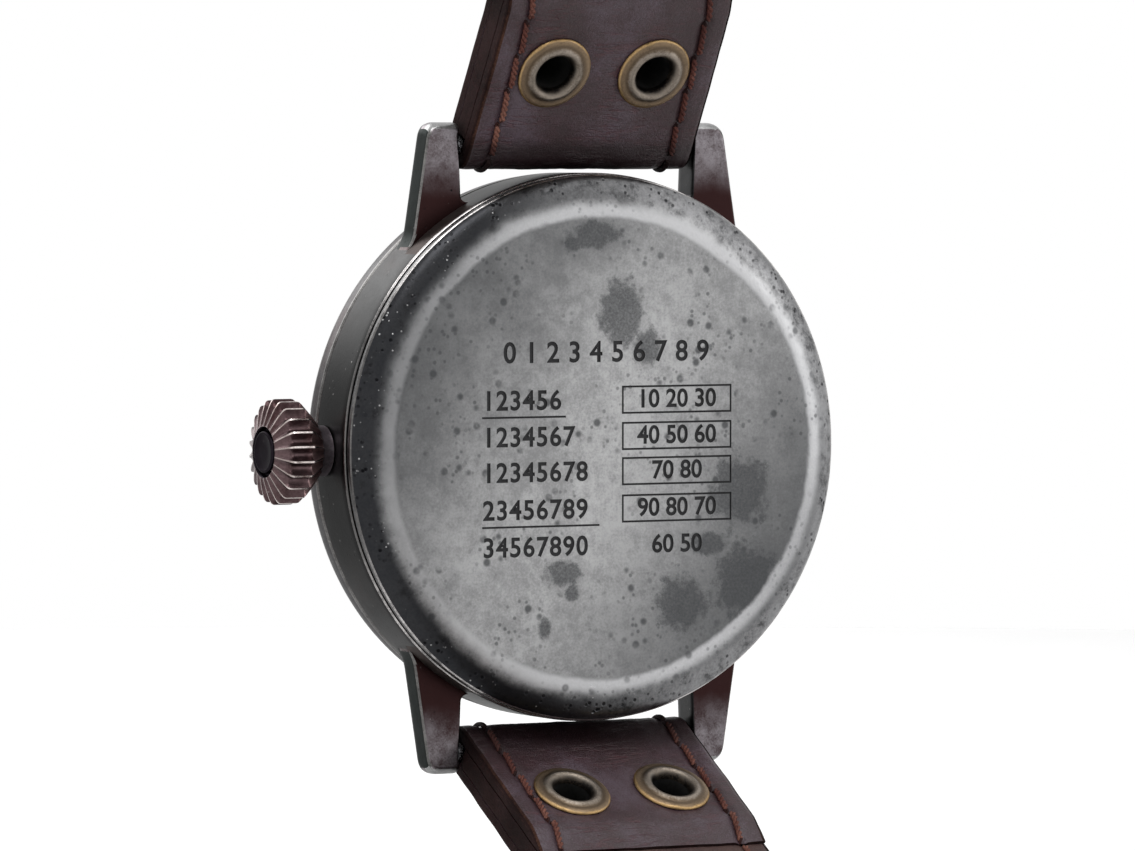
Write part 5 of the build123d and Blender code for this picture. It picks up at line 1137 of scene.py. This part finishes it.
def make_stitching(line, body, seed):
    """The rows along both edges, on the wrist side and on the outer side."""
    draw = random.Random(seed)
    parts, picks = [], []
    short_of_end = 5.0 if line.side > 0 else 9.5
    for side in (-1, 1):
        for wrist in (True, False):
            hole = 0
            while (hole + 1) * stitch_pitch < line.length - short_of_end:
                run = hole * stitch_pitch
                lean = 0.3 + 0.14 * (draw.random() - 0.5)
                drift = 0.08 * (draw.random() - 0.5)

                def shape(along, aside, out):
                    at = run + along
                    across = side * (line.half_width(at) - stitch_inset) + aside + drift
                    across += lean * (along / stitch_pitch - 0.5)
                    if wrist:
                        top = flap_top(at) if at < flap_end else fold_inner
                        return line.spot(across, at, top + out - stitch_sink)
                    return line.spot(across, at, -fold_outer - out + stitch_sink)

                parts += stitch(draw, shape, stitch_pitch, picks)
                hole += 1
        # The thread that goes round the fold
        across = side * (line.half_width(0) - stitch_inset)
        steps, sides = 16, 8
        turns = [math.radians(-80 + 160 * step / steps) for step in range(steps + 1)]
        reach = fold_outer + 0.06
        loop = [line.spot(across, -reach * math.cos(turn), reach * math.sin(turn)) for turn in turns]
        parts.append(tube(loop, [0.2] * len(loop), sides))
        # The whole loop gets the thread's painted shade
        picks += [1] * (steps * sides + 2)
    for wrist in (True, False):
        width = line.half_width(flap_end) - stitch_inset
        count = round(2 * width / stitch_pitch)
        pitch = 2 * width / count
        for hole in range(count):
            left = -width + hole * pitch

            def shape(along, aside, out):
                rise = fold_inner + out - 0.12 if wrist else -fold_outer - out + stitch_sink
                return line.spot(left + along, flap_end + 1.3 + aside, rise)

            parts += stitch(draw, shape, pitch, picks)
    points, faces = joined(parts)
    finishes = [thread_yarn, thread_painted_shade]
    make_piece(f"{body}_stitching", points, faces, finishes, body, picks=picks, crease=80, tidy=False)


# Radius, rise and finish of a rivet's outline, from the floor of its bore to its outer cap
rivet_profile = [
    (0.0, -1.43, 1), (1.36, -1.43, 1), (1.36, -1.0, 1), (1.37, 0.6, 1), (1.39, 1.25, 1),
    (1.43, 1.62, 2), (1.50, 1.90, 2), (1.60, 2.10, 2), (1.72, 2.23, 2), (1.84, 2.30, 2),
    (1.96, 2.33, 2), (2.06, 2.31, 2), (2.18, 2.24, 2), (2.30, 2.16, 2), (2.42, 2.12, 2),
    (2.55, 2.12, 2), (2.70, 2.10, 2), (2.84, 2.06, 2), (2.94, 2.00, 2), (3.0, 1.92, 2),
    (3.0, 1.84, 0), (2.94, 1.80, 0), (2.1, 1.80, 0), (2.1, -1.85, 0), (2.79, -1.85, 0),
    (2.79, -1.98, 0), (2.68, -2.2, 0), (2.35, -2.45, 0), (1.7, -2.62, 0), (0.0, -2.7, 0),
]


def make_ring_brass():
    """Brass of the rings: a golden rim of worn brass with a painted highlight, a brown slope, a pale lip, and
    a funnel painted darker inwards as shade.
    """
    brass = Finish("ring_brass", metallic=1.0)
    reach = 100.0
    for line in (strap_12, strap_6):
        for side in (-1, 1):
            middle = tuple(line.near(side * rivet_half_gap, line.rivet_run, 0, 2.0))
            reach = brass.away(middle, (1, 1, 1)).smaller(reach)
    cloud = brass.clouds(1.3, detail=4, shift=4.0)
    fine = brass.clouds(0.12, detail=2, rough=0.7, shift=8.0)
    reach = reach + (cloud - 0.5) * 0.5 + (fine - 0.5) * 0.12
    # Painted shade: the funnel goes nearly black towards the bore
    colour = brass.tint(reach.rise(1.45, 1.9), (0.010, 0.009, 0.009), (0.25, 0.215, 0.18))
    colour = brass.tint(reach.rise(2.1, 2.35), colour, (0.12, 0.088, 0.060))
    colour = brass.tint(reach.rise(2.4, 2.7), colour, (0.21, 0.15, 0.095))
    # The golden rim: worn brass with a painted highlight
    colour = brass.tint(reach.rise(2.8, 2.97), colour, (0.50, 0.33, 0.15))
    colour = brass.tint((cloud * 0.5 + fine * 0.5).rise(0.42, 0.66) * 0.6, colour, (0.07, 0.052, 0.036))
    brass.set(base_color=colour, roughness=cloud * 0.2 + fine * 0.2 + 0.24)
    brass.relief(fine, 0.02)
    return brass


ring_brass = make_ring_brass()


def make_rivets(line, body, node):
    """Eyelets with a rolled edge, a dished ring and a raised lip round a bore painted dark as shade; a low
    dome outside.
    """
    segments = 72
    count = len(rivet_profile)
    for side in (-1, 1):
        points = []
        for step in range(segments):
            angle = math.tau * step / segments
            for radius, rise, pick in rivet_profile:
                across = side * rivet_half_gap + radius * math.cos(angle)
                points.append(tuple(line.near(across, line.rivet_run, radius * math.sin(angle), rise)))
        faces = ring_faces(segments, count, loop=False)
        picks = [rivet_profile[face[0] % count][2] for face in faces]
        name = f"{node}_{'left' if side < 0 else 'right'}"
        finishes = [aged_brass, bore_painted_shade, ring_brass]
        make_piece(name, points, faces, finishes, body, [node], picks, crease=50)


for line, body, node, seed in ((strap_12, "strap_12", "rivets_12", 12), (strap_6, "strap_6", "rivets_6", 6)):
    make_strap_layers(line, body)
    make_stitching(line, body, seed)
    make_rivets(line, body, node)


def make_keeper(name, run, length, gap, body):
    """A leather loop round the strap near the buckle."""
    half, low, high, wall = 9.32, fold_inner + gap, -fold_outer - 3.0, 1.0
    middle = (low + high) / 2
    tall = (low - high) / 2
    points = []
    corners = [(half, tall), (-half, tall), (-half, -tall), (half, -tall)]
    inside = rounded([(x, y, 0.5) for x, y in corners], 4)
    outside = rounded([(x + math.copysign(wall, x), y + math.copysign(wall, y), 0.95) for x, y in corners], 4)
    rings = [(outside, -0.5, 0.94), (outside, -0.42, 1.0), (outside, 0.42, 1.0), (outside, 0.5, 0.94)]
    rings += [(inside, 0.5, 1.01), (inside, 0.4, 1.0), (inside, -0.4, 1.0), (inside, -0.5, 1.01)]
    for shape, share, swell in rings:
        for x, y in shape:
            bow = 1 + (swell - 1) * 0.25
            points.append(tuple(strap_12.near(x * bow, run, share * length, middle + y * bow)))
    faces = ring_faces(len(rings), len(inside))
    picks = [1 if face[0] // len(inside) in (3, 7) else 0 for face in faces]
    finishes = [strap_leather, strap_edge]
    make_piece(name, points, faces, finishes, body, [name.replace("dressed_", "")], picks, crease=40)


make_keeper("dressed_fixed_keeper", run=65.4, length=4.6, gap=0.0, body="strap_12")
make_keeper("dressed_sliding_keeper", run=58.0, length=4.4, gap=0.1, body="sliding_keeper")


# Dial and hands

dial_front_depth = 7.6
print_height = 0.035
number_radius = 11.6
mark_end = 16.2

# Where a minute mark starts, and its width
long_mark = (14.2, 0.5)
short_mark = (15.0, 0.2)


def flat_on_dial(x, y, z):
    """A point on the dial, upright as seen from the front."""
    return (x, -(dial_front_depth + z), y)


def on_dial(turn, distance):
    """Places a flat shape on the dial at a clock angle, upright as seen from the front."""
    angle = math.radians(turn)
    middle = (distance * math.sin(angle), distance * math.cos(angle))
    return lambda x, y, z: flat_on_dial(middle[0] + x, middle[1] + y, z)


def turned_mark(turn, near, far, width):
    """A radial bar on the dial."""
    angle = math.radians(turn)
    out = Vector((math.sin(angle), math.cos(angle)))
    side = Vector((out.y, -out.x)) * width / 2
    outline = [out * near - side, out * near + side, out * far + side, out * far - side]
    return slab([tuple(p) for p in outline], 0.0, print_height, flat_on_dial)


def make_dial_print():
    """Hour numbers, minute marks, and a triangle between two dots at 12."""
    parts = []
    for hour in range(1, 12):
        place = on_dial(hour * 30, number_radius)
        parts.append(numbers(str(hour), 2.7, place, 0.0, print_height, weight=0.05))
    for minute in range(1, 60):
        start, width = short_mark if minute % 5 else long_mark
        parts.append(turned_mark(minute * 6, start, mark_end, width))
    parts.append(slab([(-1.5, 15.9), (1.5, 15.9), (0, 13.2)], 0.0, print_height, flat_on_dial))
    for side in (-1, 1):
        parts.append(slab(circle((side * 2.4, 14.9), 0.42, 24), 0.0, print_height, flat_on_dial))
    points, faces = joined(parts)
    make_piece("dial_figures", points, faces, [aged_lume], "case")


def make_hand_fill(name, length, width, depth, turn, body):
    """Luminous fill on a sword-shaped hand."""
    angle = math.radians(turn)
    out = Vector((math.sin(angle), math.cos(angle)))
    side = Vector((out.y, -out.x))
    shape = [(0.28, -0.3), (0.8, -0.3), (0.93, 0), (0.8, 0.3), (0.28, 0.3)]
    outline = [tuple(out * (length * along) + side * (width * aside)) for along, aside in shape]
    points, faces = slab(outline, depth + 0.15, depth + 0.19, lambda x, y, z: (x, -z, y))
    make_piece(name, points, faces, [aged_lume], body)


make_dial_print()
make_hand_fill("hour_hand_fill", length=9.2, width=2.1, depth=8.05, turn=305, body="hour_set")
make_hand_fill("minute_hand_fill", length=13.4, width=1.6, depth=8.5, turn=63.5, body="minute_set")


# Carried-over pieces


def soften(name, width, finish):
    """Rounds the edges of a CAD node by a bevel of that width and gives it a finish."""
    node = nodes[name]
    weld = node.modifiers.new("weld", "WELD")
    weld.merge_threshold = 1e-6
    bevel = node.modifiers.new("bevel", "BEVEL")
    bevel.width = width * MM
    bevel.segments = 3
    bevel.limit_method = "ANGLE"
    bevel.angle_limit = math.radians(40)
    bevel.harden_normals = True
    node.data.materials[0] = finish.material


soften("buckle_frame", 0.3, buckle_steel)
soften("buckle_tongue", 0.2, buckle_steel)


# Camera, floor and light


def around(azimuth, elevation, distance):
    """A point at an azimuth and elevation in degrees, and a distance in millimetres."""
    turn, lift = math.radians(azimuth), math.radians(elevation)
    reach = math.cos(lift)
    return Vector((math.sin(turn) * reach, -math.cos(turn) * reach, math.sin(lift))) * distance * MM


def make_camera(azimuth, elevation, distance, shift_right, shift_up, focal_length):
    """A camera aimed at the middle of the case, moved a little right and up."""
    outward = around(azimuth, elevation, 1 / MM)
    right = (-outward).cross(Vector((0, 0, 1))).normalized()
    up = right.cross(-outward)
    lens = bpy.data.cameras.new("camera")
    lens.sensor_width = 36.0
    lens.lens = focal_length
    lens.clip_start, lens.clip_end = 0.01, 20.0
    camera = bpy.data.objects.new("camera", lens)
    camera.location = (right * shift_right + up * shift_up) * MM + outward * distance * MM
    camera.rotation_euler = (-outward).to_track_quat("-Z", "Y").to_euler()
    bpy.context.collection.objects.link(camera)
    bpy.context.scene.camera = camera


def make_lamp(name, azimuth, elevation, distance, size, glow):
    """A soft rectangular lamp that faces the watch; a glow of 1 looks as bright as white paper."""
    light = bpy.data.lights.new(name, "AREA")
    light.shape = "RECTANGLE"
    light.size, light.size_y = size[0] * MM, size[1] * MM
    light.energy = glow * math.pi * light.size * light.size_y
    lamp = bpy.data.objects.new(name, light)
    lamp.location = around(azimuth, elevation, distance)
    lamp.rotation_euler = (-lamp.location).to_track_quat("-Z", "Y").to_euler()
    bpy.context.collection.objects.link(lamp)


def make_world():
    """White to the camera and in metal and glass, and dimmer, even light on everything else."""
    world = bpy.data.worlds.new("studio")
    bpy.context.scene.world = world
    world.use_nodes = True
    studio = ShaderTree(world.node_tree)
    seen = 0.0
    for ray in ("Is Camera Ray", "Is Glossy Ray", "Is Transmission Ray"):
        seen = studio.node("ShaderNodeLightPath", {}, {}, output=ray).larger(seen)
    strength = 0.5 + seen * 0.5
    background = studio.node("ShaderNodeBackground", {}, {"Color": grey(1), "Strength": strength})
    studio.node("ShaderNodeOutputWorld", {}, {"Surface": background})


def make_floor():
    """A pale round floor just under the strap."""
    lowest = cad_box[0][2] / MM
    points, faces = slab(circle((0, 0), 450, 96), lowest - 2.2, lowest - 0.2, lambda *point: point)
    pale = plated("pale_floor", grey(0.9), grey(0.86), size=60, gloss=0.7, metallic=0.0)
    seen = pale.node("ShaderNodeLightPath", {}, {}, output="Is Camera Ray")
    pale.set(emission_color=pale.tint(seen, grey(0), grey(0.2)), emission_strength=1.0)
    make_piece("floor", points, faces, [pale], None)


make_camera(152.089, 2.181, 539.66, shift_right=-2.625, shift_up=1.73, focal_length=223.81)
make_world()
make_floor()

# Name, azimuth, elevation, distance, size and glow
lamps = [
    ("top_lamp", 176, 58, 520, (420, 300), 4.0),
    ("crown_lamp", 88, 12, 600, (200, 420), 0.6),
    ("far_lamp", 236, 10, 650, (240, 420), 1.5),
    ("dial_lamp", 18, 32, 650, (420, 420), 3.0),
]
for lamp in lamps:
    make_lamp(*lamp)

bpy.context.scene.view_settings.view_transform = "Standard"
